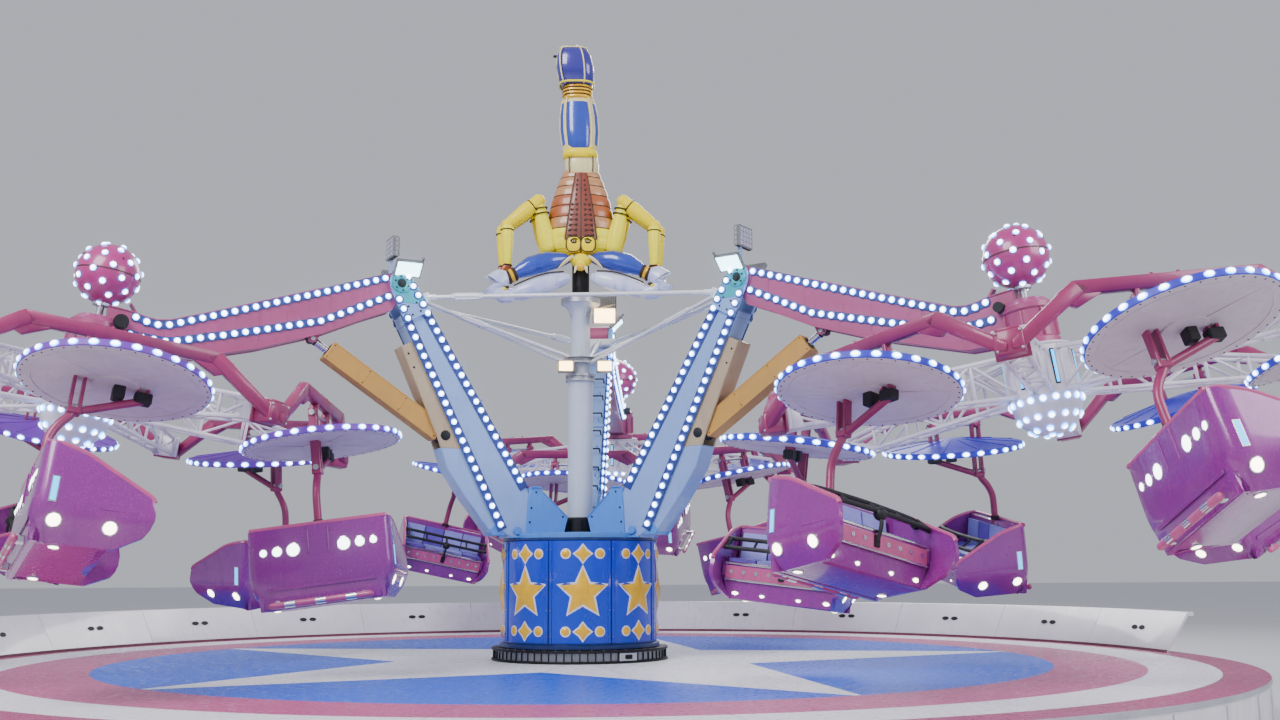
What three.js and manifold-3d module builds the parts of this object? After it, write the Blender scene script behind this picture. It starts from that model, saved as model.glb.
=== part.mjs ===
// Spider ride on a round platform. A turning drum with three slanted masts carries
// three lifting booms. Under the end of each boom a six-armed spider turns, and six
// two-seat gondolas with round canopies hang from its ring of bridge beams.
// Millimetres, Z up. The origin is on the ground at the middle of the platform.
// Heights are above the deck unless a comment says otherwise.
import * as THREE from "three";
import { mergeVertices } from "three/addons/utils/BufferGeometryUtils.js";
import Module from "manifold-3d";

const wasm = await Module();
wasm.setup();

// Platform
const DECK_HEIGHT = 450;
const DECK_RADIUS = 7600;
const RIM_RADIUS = 7400;
const RIM_HEIGHT = 500;
const RIM_HALF_ARC = 88;
const SLEW_RADIUS = 1070;
const SLEW_HEIGHT = 150;
// Seated faces keep this gap, so that no two pieces share a face.
const SEAT = 0.3;
// Pins, shafts and bearings keep this gap all round.
const RUNNING = 0.4;

// Turning drum, masts and column
const DRUM_RADIUS = 940;
const DRUM_TOP = 1440;
const MAST_FOOT = [770, 1480];
const MAST_HEAD = [2390, 4395];
// Half of a mast's depth at its foot, what it loses up to its top, and where that is
const FOOT_HALF_DEPTH = 300;
const DEPTH_LOSS = 129;
const MAST_TOP = 3000;
const MAST_WIDTH = 360;
const MAST_PIN = 60;
// Space inside the strut for the ram's cover
const STRUT_SLOT = 242;
const COLUMN_RADIUS = 155;
const COLUMN_TOP = 4450;

// Booms: bearing clockwise from +Y, and the turn of the spider under each
const BOOMS = [
  { side: "rear", bearing: 6.2, turn: 20 },
  { side: "right", bearing: 126.2, turn: -18.7 },
  { side: "left", bearing: 246.2, turn: 3.9 },
];
const BOOM_WIDTH = 300;
const RAM_FOOT = [1800, 2635];
const RAM_HEAD = [3370, 3690];
const RAM_BARREL = 1680;
const RAM_ROD = 42;
const RAM_PIN = 30;

// Spiders
const SPIDER_RADIUS = 5800;
const SPIDER_HEIGHT = 2730;
const SPIDER_TILT = 8.6;
const HUB_TOP = 530;
const BEARING_FACE = 540;
const ARM_COUNT = 6;
const ARM_END = 2720;
const ARM_WIDTH = 240;
const BEAM_DISTANCE = 2550;
const BEAM_HALF_SPAN = 845;
const BEAM_HEIGHT = 420;
const FOOT_RADIUS = 2910;

// Gondolas: the swing pin runs along the beam; distances below are from that pin
const PIN_HEIGHT = 270;
const SWING_OUT = 15;
const CANOPY_RADIUS = 835;
const LUGS = [-300, 230];
const SWING_PIN = 20;
const TUB_HALF_WIDTH = 720;
const TUB_BACK = -530;
// The tube of a hanger stands in the back of its tub, between these two distances.
const TUBE = [-495, -415];
const TUBE_WIDTH = 80;
const TUBE_END = -1450;

const finish = (color, roughness, metalness) =>
  new THREE.MeshStandardMaterial({ color, roughness, metalness });
const FINISHES = {
  deck: finish(0x3f8fd8, 0.3, 0.0),
  white: finish(0xe9e6ec, 0.4, 0.0),
  blue: finish(0x2147b8, 0.25, 0.1),
  mast: finish(0x9db8dc, 0.45, 0.1),
  steel: finish(0xb9bec6, 0.35, 0.7),
  figure: finish(0xe0a02c, 0.35, 0.0),
  pink: finish(0xb8487e, 0.4, 0.1),
  ball: finish(0xc23a86, 0.35, 0.0),
  amber: finish(0xd89a4a, 0.45, 0.1),
  spider: finish(0xe4dfe0, 0.4, 0.1),
  tub: finish(0x8e2f86, 0.3, 0.1),
};

const vec = (x, y, z) => new THREE.Vector3(x, y, z);

// A closed solid of a geometry.
function solid(geometry) {
  const bare = geometry.clone();
  bare.deleteAttribute("normal");
  bare.deleteAttribute("uv");
  const merged = mergeVertices(bare, 1e-3);
  return new wasm.Manifold(
    new wasm.Mesh({
      numProp: 3,
      vertProperties: merged.attributes.position.array,
      triVerts: new Uint32Array(merged.index.array),
    }),
  );
}

// The geometry of a solid.
function geometryOf(body) {
  const mesh = body.getMesh();
  const geometry = new THREE.BufferGeometry();
  geometry.setAttribute(
    "position",
    new THREE.BufferAttribute(mesh.vertProperties, 3),
  );
  geometry.setIndex(new THREE.BufferAttribute(mesh.triVerts, 1));
  geometry.computeVertexNormals();
  return geometry;
}

const joined = (bodies) => bodies.reduce((sum, body) => sum.add(body));

// A box by its sides and its middle.
function block(sx, sy, sz, x, y, z) {
  return solid(new THREE.BoxGeometry(sx, sy, sz).translate(x, y, z));
}

// A square bar from a to b: wide lies level, deep stands across it.
function bar(a, b, wide, deep) {
  const along = b.clone().sub(a);
  const length = along.length();
  along.normalize();
  const level = vec(-along.y, along.x, 0);
  if (level.length() < 1e-6) level.set(1, 0, 0);
  level.normalize();
  const across = along.clone().cross(level);
  const turn = new THREE.Matrix4().makeBasis(level, across, along);
  const middle = a.clone().add(b).multiplyScalar(0.5);
  const geometry = new THREE.BoxGeometry(wide, deep, length);
  geometry.applyMatrix4(turn).translate(middle.x, middle.y, middle.z);
  return solid(geometry);
}

// A round bar from a to b.
function rod(a, b, radius, sides) {
  const along = b.clone().sub(a);
  const length = along.length();
  const middle = a.clone().add(b).multiplyScalar(0.5);
  const turn = new THREE.Quaternion().setFromUnitVectors(
    vec(0, 1, 0),
    along.normalize(),
  );
  const geometry = new THREE.CylinderGeometry(radius, radius, length, sides);
  geometry.applyQuaternion(turn).translate(middle.x, middle.y, middle.z);
  return solid(geometry);
}

// The cut for a pin of this radius: its flats face the pin's edges and clear them
// by the running gap, however far the pin turns. The twist is the pin's turn at rest.
function bore(a, b, radius, sides, twist = 0) {
  const wide = (radius + RUNNING) / Math.cos(Math.PI / sides);
  const along = b.clone().sub(a);
  const middle = a.clone().add(b).multiplyScalar(0.5);
  const geometry = new THREE.CylinderGeometry(wide, wide, along.length(), sides);
  geometry.rotateY(Math.PI / sides + twist);
  geometry.applyQuaternion(
    new THREE.Quaternion().setFromUnitVectors(vec(0, 1, 0), along.normalize()),
  );
  return solid(geometry.translate(middle.x, middle.y, middle.z));
}

// A plate with its outline in the X-Z plane and its thickness along Y.
function plate(outline, thickness, y) {
  const shape = new THREE.Shape(outline.map(([x, z]) => new THREE.Vector2(x, z)));
  const geometry = new THREE.ExtrudeGeometry(shape, {
    depth: thickness,
    bevelEnabled: false,
  });
  return solid(geometry.rotateX(Math.PI / 2).translate(0, y + thickness / 2, 0));
}

// A plate with its outline in the Y-Z plane and its thickness along X.
function crossPlate(outline, thickness, x) {
  const shape = new THREE.Shape(outline.map(([y, z]) => new THREE.Vector2(y, z)));
  const geometry = new THREE.ExtrudeGeometry(shape, {
    depth: thickness,
    bevelEnabled: false,
  });
  geometry.rotateX(Math.PI / 2).rotateZ(Math.PI / 2);
  return solid(geometry.translate(x - thickness / 2, 0, 0));
}

// A body turned round Z from a profile of radius and height, outer side upwards.
// A sweep under 360 degrees makes an arc with closed ends.
function turned(profile, sides, start = 0, sweep = 360) {
  const full = sweep === 360;
  const stations = full ? sides : sides + 1;
  const points = [];
  const rows = profile.map(([r, z]) => {
    const row = [];
    for (let j = 0; j < stations; j += 1) {
      if (r === 0 && j > 0) {
        row.push(row[0]);
        continue;
      }
      const angle = THREE.MathUtils.degToRad(start + (sweep * j) / sides);
      row.push(points.length / 3);
      points.push(r * Math.cos(angle), r * Math.sin(angle), z);
    }
    return row;
  });
  const faces = [];
  const face = (a, b, c) => {
    if (a !== b && b !== c && a !== c) faces.push(a, b, c);
  };
  rows.forEach((low, i) => {
    const high = rows[(i + 1) % rows.length];
    if (profile[i][0] === 0 && profile[(i + 1) % rows.length][0] === 0) return;
    for (let j = 0; j < sides; j += 1) {
      const k = full ? (j + 1) % stations : j + 1;
      face(low[j], low[k], high[k]);
      face(low[j], high[k], high[j]);
    }
  });
  if (!full) {
    const outline = profile.map(([r, z]) => new THREE.Vector2(r, z));
    for (const [a, b, c] of THREE.ShapeUtils.triangulateShape(outline, [])) {
      face(rows[a][0], rows[b][0], rows[c][0]);
      face(rows[a][sides], rows[c][sides], rows[b][sides]);
    }
  }
  const geometry = new THREE.BufferGeometry();
  geometry.setAttribute("position", new THREE.Float32BufferAttribute(points, 3));
  geometry.setIndex(faces);
  return solid(geometry);
}

// An egg-shaped body.
function egg(rx, ry, rz, x, y, z, tilt = 0) {
  const geometry = new THREE.SphereGeometry(1, 7, 4).scale(rx, ry, rz);
  geometry.rotateY(tilt).translate(x, y, z);
  return solid(geometry);
}

// Points in the plane of a boom: distance along the mast and offset outwards.
const mastLength = Math.hypot(
  MAST_HEAD[0] - MAST_FOOT[0],
  MAST_HEAD[1] - MAST_FOOT[1],
);
const mastRun = (MAST_HEAD[0] - MAST_FOOT[0]) / mastLength;
const mastRise = (MAST_HEAD[1] - MAST_FOOT[1]) / mastLength;
const onMast = (along, out) => [
  MAST_FOOT[0] + along * mastRun + out * mastRise,
  MAST_FOOT[1] + along * mastRise - out * mastRun,
];
const halfDepth = (along) => FOOT_HALF_DEPTH - (DEPTH_LOSS * along) / MAST_TOP;

const object = new THREE.Group();
const deck = new THREE.Group();
deck.position.z = DECK_HEIGHT;
object.add(deck);

function place(parent, name, geometry, look) {
  const mesh = new THREE.Mesh(geometry, FINISHES[look]);
  mesh.name = name;
  parent.add(mesh);
  return mesh;
}

// The platform: deck plate, skirt, middle block with the slewing ring, and beams.
function platform() {
  const pieces = [
    turned(
      [
        [0, -DECK_HEIGHT],
        [1150, -DECK_HEIGHT],
        [1150, -90],
        [DECK_RADIUS - 110, -90],
        [DECK_RADIUS - 110, -DECK_HEIGHT],
        [DECK_RADIUS, -DECK_HEIGHT],
        [DECK_RADIUS, 0],
        [SLEW_RADIUS, 0],
        [SLEW_RADIUS, SLEW_HEIGHT],
        [0, SLEW_HEIGHT],
      ],
      48,
    ),
  ];
  for (let i = 0; i < 6; i += 1) {
    const angle = ((i * 60 + 30) * Math.PI) / 180;
    const at = (r) => vec(r * Math.cos(angle), r * Math.sin(angle), -190);
    pieces.push(bar(at(1100), at(DECK_RADIUS - 60), 140, 220));
    const foot = at(4200);
    pieces.push(block(260, 260, 200, foot.x, foot.y, -DECK_HEIGHT + 100));
  }
  return joined(pieces);
}

// The raised rim round the back half, in straight panels with ribs behind.
function rim() {
  const start = 90 - RIM_HALF_ARC;
  const sweep = 2 * RIM_HALF_ARC;
  const pieces = [
    turned(
      [
        [RIM_RADIUS, SEAT],
        [RIM_RADIUS + 75, SEAT],
        [RIM_RADIUS + 345, RIM_HEIGHT - 45],
        [RIM_RADIUS + 390, RIM_HEIGHT - 45],
        [RIM_RADIUS + 390, RIM_HEIGHT],
        [RIM_RADIUS + 310, RIM_HEIGHT],
      ],
      24,
      start,
      sweep,
    ),
  ];
  for (let i = 0; i < 9; i += 1) {
    const angle = ((start + 1 + ((sweep - 2) * i) / 8) * Math.PI) / 180;
    const rib = new THREE.Shape([
      new THREE.Vector2(RIM_RADIUS + 40, SEAT),
      new THREE.Vector2(RIM_RADIUS + 180, SEAT),
      new THREE.Vector2(RIM_RADIUS + 360, RIM_HEIGHT - 30),
      new THREE.Vector2(RIM_RADIUS + 310, RIM_HEIGHT - 30),
    ]);
    const geometry = new THREE.ExtrudeGeometry(rib, {
      depth: 30,
      bevelEnabled: false,
    });
    geometry.rotateX(Math.PI / 2).translate(0, 15, 0).rotateZ(angle);
    pieces.push(solid(geometry));
  }
  return joined(pieces);
}

// The clad drum, open below, with the king post inside.
function drum() {
  const foot = SLEW_HEIGHT + 8;
  return turned(
    [
      [0, SLEW_HEIGHT + RUNNING],
      [300, SLEW_HEIGHT + RUNNING],
      [300, DRUM_TOP - 60],
      [DRUM_RADIUS - 50, DRUM_TOP - 60],
      [DRUM_RADIUS - 50, foot],
      [DRUM_RADIUS, foot],
      [DRUM_RADIUS, DRUM_TOP],
      [0, DRUM_TOP],
    ],
    24,
  );
}

// The outer strut of a mast, slotted for the ram's cover, with the ram's foot pin.
function strut() {
  const [x, z] = RAM_FOOT;
  const whole = plate(
    [
      [700, DRUM_TOP + SEAT],
      [1000, DRUM_TOP + SEAT],
      [1040, 1555],
      [1220, 1500],
      [1550, 1920],
      [1770, 2240],
      [1890, 2590],
      [2360, 3660],
      [2190, 3745],
      [1200, 1900],
    ],
    300,
    0,
  );
  const slot = plate(
    [
      [x - 110, z - 135],
      [x + 400, z - 135],
      [x + 400, z + 507],
      [x - 110, z + 155],
    ],
    STRUT_SLOT,
    0,
  );
  const pin = rod(vec(x, -140, z), vec(x, 140, z), RAM_PIN, 8);
  return whole.subtract(slot).add(pin);
}

// One cheek of a mast's fork head with its boss and the lit flood panel on it, which
// faces away from the boom and down.
function cheek(side) {
  const [x, z] = MAST_HEAD;
  const fork = BOOM_WIDTH / 2 + 8;
  const low = MAST_TOP - 100;
  const panel = new THREE.BoxGeometry(320, 60, 220);
  panel.rotateX((-side * Math.PI) / 4);
  panel.translate(x - 60, side * (fork + 112), z + 178);
  return joined([
    plate(
      [
        onMast(low, halfDepth(low)),
        [x + 125, z - 40],
        [x + 110, z + 110],
        onMast(mastLength + 16, -halfDepth(mastLength + 16)),
        onMast(low, -halfDepth(low)),
      ],
      50,
      side * (fork + 25),
    ),
    rod(vec(x, side * fork, z), vec(x, side * (fork + 75), z), 110, 10),
    solid(panel),
  ]);
}

// One mast with its strut, the gusset at its foot, the fork head with the boom's pin,
// and the floodlight on its post.
function mast() {
  const base = DRUM_TOP + SEAT;
  const [x, z] = MAST_HEAD;
  const fork = BOOM_WIDTH / 2 + 8;
  const post = -fork - 25;
  return joined([
    plate(
      [
        [425, base],
        [960, base],
        [1130, 1545],
        onMast(MAST_TOP, halfDepth(MAST_TOP)),
        onMast(MAST_TOP, -halfDepth(MAST_TOP)),
      ],
      MAST_WIDTH,
      0,
    ),
    strut(),
    plate(
      [
        [235, base],
        [480, base],
        [700, 1900],
        [640, 2050],
      ],
      40,
      0,
    ),
    cheek(-1),
    cheek(1),
    rod(vec(x, -fork - 20, z), vec(x, fork + 20, z), MAST_PIN, 8),
    bar(vec(x + 30, post, z + 60), vec(x + 30, post, z + 400), 40, 40),
    block(90, 320, 270, x + 30, -105, z + 490),
  ]);
}

// Three masts on one ring plate that lies on the drum.
function mastFrame() {
  const base = DRUM_TOP + SEAT;
  const ring = turned(
    [
      [COLUMN_RADIUS + 60, base],
      [900, base],
      [900, base + 60],
      [COLUMN_RADIUS + 60, base + 60],
    ],
    12,
  );
  const one = geometryOf(mast());
  const masts = BOOMS.map(({ bearing }) =>
    solid(one.clone().rotateZ(((90 - bearing) * Math.PI) / 180)),
  );
  return joined([ring, ...masts]);
}

// The column on the drum with its clamp, collar and top flange, and the tie rods
// from the collar to the mast heads and from each mast head to the next.
function columnWithTies() {
  const foot = DRUM_TOP + SEAT;
  const tube = turned(
    [
      [0, foot],
      [200, foot],
      [200, foot + 260],
      [COLUMN_RADIUS, foot + 260],
      [COLUMN_RADIUS, 3400],
      [190, 3400],
      [190, 3480],
      [120, 3480],
      [120, 3620],
      [210, 3620],
      [210, 3700],
      [120, 3700],
      [120, 4250],
      [250, 4390],
      [250, COLUMN_TOP],
      [0, COLUMN_TOP],
    ],
    12,
  );
  const pieces = [tube];
  const ends = [];
  const along = mastLength - 275;
  const out = (at) => -halfDepth(at) - SEAT;
  for (const { bearing } of BOOMS) {
    const turn = ((90 - bearing) * Math.PI) / 180;
    const local = (x, y, z) => vec(x, y, z).applyAxisAngle(vec(0, 0, 1), turn);
    const clevis = plate(
      [
        onMast(along - 60, out(along - 60)),
        onMast(along + 60, out(along + 60)),
        onMast(along + 60, out(along) - 70),
        onMast(along - 60, out(along) - 70),
      ],
      480,
      0,
    );
    pieces.push(solid(geometryOf(clevis).rotateZ(turn)));
    const [r, z] = onMast(along, out(along) - 40);
    ends.push({ left: local(r, 225, z), right: local(r, -225, z) });
    const inner = local(r, 0, z);
    const collar = local(170, 0, 3660);
    const at = (share) => inner.clone().lerp(collar, share);
    pieces.push(rod(inner, collar, 22, 6), rod(at(0.28), at(0.42), 40, 6));
  }
  ends.forEach((end, i) => {
    const next = ends[(i + 1) % ends.length];
    const a = end.right;
    const b = next.left;
    pieces.push(rod(a, b, 22, 6));
    pieces.push(rod(a.clone().lerp(b, 0.82), a.clone().lerp(b, 0.9), 38, 6));
  });
  return joined(pieces);
}

// The scorpion figure, head down with its tail raised, on the column's flange.
function figure() {
  const base = COLUMN_TOP + SEAT;
  const oval = (profile, depth, x, y, z) => {
    const geometry = geometryOf(turned(profile, 8));
    return solid(geometry.scale(1, depth, 1).translate(x, y, z));
  };
  const pieces = [
    turned(
      [
        [0, base],
        [200, base],
        [200, base + 40],
        [110, base + 60],
        [110, 5300],
        [0, 5300],
      ],
      8,
    ),
    // Abdomen
    oval(
      [
        [0, -560],
        [330, -460],
        [430, -250],
        [410, 50],
        [310, 330],
        [225, 560],
        [0, 600],
      ],
      0.62,
      0,
      0,
      5510,
    ),
    // Head plate
    egg(260, 300, 170, 0, -110, 5050),
    // Tail from the cream segment to the raised tip, which leans forward
    oval(
      [
        [0, -130],
        [215, -90],
        [235, 20],
        [215, 130],
        [0, 150],
      ],
      0.85,
      0,
      10,
      6200,
    ),
    oval(
      [
        [0, -430],
        [215, -380],
        [255, -60],
        [240, 280],
        [175, 400],
        [0, 430],
      ],
      0.85,
      -30,
      0,
      6740,
    ),
    oval(
      [
        [0, -120],
        [225, -80],
        [225, 80],
        [0, 120],
      ],
      0.85,
      -60,
      -40,
      7190,
    ),
    oval(
      [
        [0, -280],
        [235, -240],
        [255, 60],
        [190, 250],
        [0, 300],
      ],
      0.85,
      -110,
      -110,
      7490,
    ),
  ];
  for (const side of [-1, 1]) {
    // Claws: upper arm, palm and the two fingers
    pieces.push(
      egg(330, 170, 130, side * 330, -240, 4880, side * 0.35),
      egg(300, 170, 150, side * 720, -330, 4690, side * -0.15),
      egg(190, 90, 60, side * 960, -430, 4590, side * 0.2),
      egg(190, 90, 60, side * 930, -300, 4780, side * -0.5),
    );
    // Two jointed legs, knee high and foot low
    for (const [y, spread] of [
      [-60, 0],
      [110, 90],
    ]) {
      const hip = vec(side * 280, y, 5330);
      const knee = vec(side * (640 + spread), y - 40, 5680);
      const shin = vec(side * (900 + spread), y - 80, 5330);
      const foot = vec(side * (930 + spread), y - 100, 4890);
      pieces.push(
        bar(hip, knee, 130, 150),
        bar(knee.clone().add(vec(-side * 40, 0, 30)), shin, 120, 140),
        bar(shin.clone().add(vec(0, 0, 60)), foot, 100, 110),
      );
    }
  }
  return joined(pieces);
}

// The matrix from a spider's own frame to its boom's frame.
const spiderFrame = new THREE.Matrix4()
  .makeTranslation(SPIDER_RADIUS, 0, SPIDER_HEIGHT)
  .multiply(new THREE.Matrix4().makeRotationY((-SPIDER_TILT * Math.PI) / 180));

// A boom: bent box with the pin eye, the ram's bracket and the spider's bearing.
function boom() {
  const [px, pz] = MAST_HEAD;
  const [bx, bz] = RAM_HEAD;
  const beam = plate(
    [
      [px - 15, pz - 150],
      [2480, 4085],
      [2800, 3960],
      [3310, 3735],
      [4010, 3520],
      [5040, 3290],
      [5560, 3330],
      [5560, 3870],
      [5300, 3820],
      [5180, 3780],
      [5060, 3755],
      [4930, 3765],
      [4570, 3870],
      [4100, 4015],
      [3280, 4275],
      [2600, 4500],
      [px + 40, pz + 145],
    ],
    BOOM_WIDTH,
    0,
  );
  const eye = rod(
    vec(px, -BOOM_WIDTH / 2, pz),
    vec(px, BOOM_WIDTH / 2, pz),
    150,
    12,
  );
  const bearing = new THREE.CylinderGeometry(270, 270, 500, 12);
  bearing.rotateX(Math.PI / 2).translate(0, 0, BEARING_FACE + 250);
  const pieces = [beam, eye, solid(bearing.applyMatrix4(spiderFrame))];
  const eyeBore = bore(vec(px, -400, pz), vec(px, 400, pz), MAST_PIN, 8);
  // The ram's eye turns in a slot under the beam, between two lugs.
  const slot = block(180, 100, 170, bx + 10, 0, bz - 5);
  const whole = joined(pieces).subtract(eyeBore).subtract(slot);
  const lugs = [-1, 1].map((side) =>
    plate(
      [
        [bx - 110, 3800],
        [bx - 40, bz - 35],
        [bx, bz - 52],
        [bx + 45, bz - 40],
        [bx + 90, 3780],
      ],
      20,
      side * 60,
    ),
  );
  return joined([whole, ...lugs, rod(vec(bx, -70, bz), vec(bx, 70, bz), 18, 8)]);
}

// The light ball on its stem, standing on the spider's bearing.
function lightBall() {
  const stem = new THREE.CylinderGeometry(38, 38, 260, 6);
  stem.rotateX(Math.PI / 2).translate(0, 0, BEARING_FACE + 500 + SEAT + 130);
  const ball = new THREE.SphereGeometry(340, 12, 8);
  ball.rotateX(Math.PI / 2).translate(0, 0, 1520);
  return joined([
    solid(stem.applyMatrix4(spiderFrame)),
    solid(ball.applyMatrix4(spiderFrame)),
  ]);
}

// Points on the ram's axis, by distance from its foot pin.
const ramLength = Math.hypot(RAM_HEAD[0] - RAM_FOOT[0], RAM_HEAD[1] - RAM_FOOT[1]);
const onRam = (d) =>
  vec(
    RAM_FOOT[0] + ((RAM_HEAD[0] - RAM_FOOT[0]) * d) / ramLength,
    0,
    RAM_FOOT[1] + ((RAM_HEAD[1] - RAM_FOOT[1]) * d) / ramLength,
  );

// The ram's barrel in its box cover, with the eye at its foot.
function ramBarrel() {
  const [x, z] = RAM_FOOT;
  const eye = rod(vec(x, -110, z), vec(x, 110, z), 70, 12);
  const cover = bar(onRam(60), onRam(RAM_BARREL), 230, 230);
  const neck = bar(onRam(0), onRam(140), 200, 110);
  const eyeBore = bore(vec(x, -400, z), vec(x, 400, z), RAM_PIN, 8);
  const inside = rod(onRam(700), onRam(RAM_BARREL + 40), RAM_ROD + RUNNING, 8);
  return joined([eye, neck, cover]).subtract(eyeBore).subtract(inside);
}

// The ram's rod with the eye that sits on the boom's bracket pin.
function ramRod() {
  const [x, z] = RAM_HEAD;
  const eye = rod(vec(x, -35, z), vec(x, 35, z), 52, 12);
  const shaft = rod(onRam(900), onRam(ramLength - 20), RAM_ROD, 8);
  const clear = rod(vec(x, -100, z), vec(x, 100, z), 36, 8);
  return joined([shaft, eye]).subtract(clear);
}

// A lattice arm: two chords and a zigzag of braces between them.
function lattice() {
  const start = 290;
  const end = ARM_END - 10;
  const top = (r) => 490 - ((r - start) * 310) / (end - start);
  const low = (r) => 15 - ((r - start) * 60) / (end - start);
  const chord = 50;
  const shape = new THREE.Shape([
    new THREE.Vector2(start, low(start)),
    new THREE.Vector2(end, low(end)),
    new THREE.Vector2(end, top(end)),
    new THREE.Vector2(start, top(start)),
  ]);
  // Triangles that point up and down in turn, with the braces between them
  const half = 430;
  for (let i = 0; i < 4; i += 1) {
    const middle = start + 480 + i * (half + 60);
    const [tip, foot] = i % 2 === 0 ? [top, low] : [low, top];
    const inset = i % 2 === 0 ? chord : -chord;
    const hole = [
      [middle - half, foot(middle - half) + inset],
      [middle + half, foot(middle + half) + inset],
      [middle, tip(middle) - inset],
    ];
    shape.holes.push(new THREE.Path(hole.map(([x, z]) => new THREE.Vector2(x, z))));
  }
  const geometry = new THREE.ExtrudeGeometry(shape, {
    depth: ARM_WIDTH,
    bevelEnabled: false,
  });
  return geometry.rotateX(Math.PI / 2).translate(0, ARM_WIDTH / 2, 0);
}

// A spider: hub, studded dome below and six lattice arms.
function spider() {
  const pieces = [
    turned(
      [
        [0, -370],
        [180, -325],
        [312, -190],
        [360, -10],
        [330, HUB_TOP],
        [120, HUB_TOP],
        [120, BEARING_FACE - RUNNING],
        [0, BEARING_FACE - RUNNING],
      ],
      12,
    ),
  ];
  const arm = lattice();
  for (let i = 0; i < ARM_COUNT; i += 1) {
    const turn = (i * 2 * Math.PI) / ARM_COUNT;
    const end = new THREE.BoxGeometry(40, 300, 250);
    end.translate(ARM_END - 20, 0, 75).rotateZ(turn);
    pieces.push(solid(arm.clone().rotateZ(turn)), solid(end));
  }
  return joined(pieces);
}

// The ring of six bridge beams, with a foot on each arm and two pin lugs each.
function bridgeRing() {
  const pieces = [];
  const end = FOOT_RADIUS * Math.sin(Math.PI / ARM_COUNT) - 25;
  const h = BEAM_HEIGHT;
  const s = BEAM_HALF_SPAN;
  const lugs = LUGS.flatMap((y) => [
    [y - 20, h - 55],
    [y - 20, PIN_HEIGHT - 50],
    [y + 20, PIN_HEIGHT - 50],
    [y + 20, h - 55],
  ]);
  const beam = crossPlate(
    [
      [-end - 30, -30],
      [-end + 60, -30],
      [-s + 70, h - 55],
      ...lugs,
      [s - 70, h - 55],
      [end - 60, -30],
      [end + 30, -30],
      [end + 30, 40],
      [s, h + 65],
      [-s, h + 65],
      [-end - 30, 40],
    ],
    90,
    BEAM_DISTANCE,
  );
  const pinBore = bore(
    vec(BEAM_DISTANCE, LUGS[0] - 60, PIN_HEIGHT),
    vec(BEAM_DISTANCE, LUGS[1] + 60, PIN_HEIGHT),
    SWING_PIN,
    6,
    THREE.MathUtils.degToRad(-SWING_OUT),
  );
  const one = geometryOf(beam.subtract(pinBore));
  for (let i = 0; i < ARM_COUNT; i += 1) {
    const arm = (i * 2 * Math.PI) / ARM_COUNT;
    const foot = new THREE.BoxGeometry(230, 240, 200);
    foot.translate(ARM_END + SEAT + 115, 0, 40).rotateZ(arm);
    pieces.push(solid(foot), solid(one.clone().rotateZ(arm + Math.PI / ARM_COUNT)));
  }
  return joined(pieces);
}

// A hanger: one frame with twin posts and the front block, slotted for the lugs of
// the swing pin, the stay between them and the curved tube that runs down into the
// gondola's back, and the canopy that the frame carries.
function hanger() {
  const [rear, front] = LUGS;
  const under = -PIN_HEIGHT - 35;
  const frame = crossPlate(
    [
      [rear - 56, 45],
      [rear - 56, under - 305],
      [rear - 140, under - 430],
      [TUBE[0], under - 560],
      [TUBE[0], TUBE_END],
      [TUBE[1], TUBE_END],
      [TUBE[1], under - 580],
      [rear - 62, under - 470],
      [rear + 56, under - 330],
      [front - 56, under - 135],
      [front + 56, under - 135],
      [front + 56, 45],
      [front + 26, 45],
      [front + 26, -95],
      [front - 26, -95],
      [front - 26, 45],
      [front - 56, 45],
      [front - 56, under - 90],
      [rear + 56, under - 265],
      [rear + 56, 45],
      [rear + 26, 45],
      [rear + 26, -95],
      [rear - 26, -95],
      [rear - 26, 45],
    ],
    TUBE_WIDTH,
    0,
  );
  const canopy = turned(
    [
      [0, under],
      [CANOPY_RADIUS, under],
      [CANOPY_RADIUS, under + 70],
      [0, under + 160],
    ],
    14,
  );
  const pin = rod(vec(0, rear - 70, 0), vec(0, front + 70, 0), SWING_PIN, 6);
  return joined([frame, canopy, pin]);
}

// A gondola tub: back with the slot for the hanger's tube, seat bench with kick
// panel, two side wings, the rear bumper and the lap bar. There is no floor in front
// of the bench.
function tub() {
  const drop = -PIN_HEIGHT;
  const w = TUB_HALF_WIDTH;
  const shell = crossPlate(
    [
      [TUB_BACK, drop - 890],
      [-260, drop - 930],
      [330, drop - 1290],
      [390, drop - 1400],
      [330, drop - 1560],
      [120, drop - 1680],
      [TUB_BACK, drop - 1700],
    ],
    2 * w,
    0,
  );
  const space = crossPlate(
    [
      [-395, drop - 800],
      [-395, drop - 950],
      [-350, drop - 1270],
      [130, drop - 1245],
      [90, drop - 1800],
      [500, drop - 1800],
      [500, drop - 800],
    ],
    2 * w - 90,
    0,
  );
  const tube = block(
    TUBE_WIDTH + 2 * RUNNING,
    TUBE[1] - TUBE[0] + 2 * RUNNING,
    500,
    0,
    (TUBE[0] + TUBE[1]) / 2,
    TUBE_END - SEAT + 250,
  );
  const bumper = TUB_BACK - 65;
  return joined([
    shell.subtract(space).subtract(tube),
    block(60, 110, 70, 420, bumper + 45, drop - 1650),
    block(60, 110, 70, -420, bumper + 45, drop - 1650),
    block(1040, 70, 70, 0, bumper, drop - 1660),
    block(2 * w - 40, 44, 44, 0, 120, drop - 1140),
  ]);
}

place(deck, "platform", geometryOf(platform()), "deck");
place(deck, "platform_rim", geometryOf(rim()), "white");
place(deck, "drum", geometryOf(drum()), "blue");
place(deck, "mast_frame", geometryOf(mastFrame()), "mast");
place(deck, "column_with_ties", geometryOf(columnWithTies()), "steel");
place(deck, "scorpion_figure", geometryOf(figure()), "figure");

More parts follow.
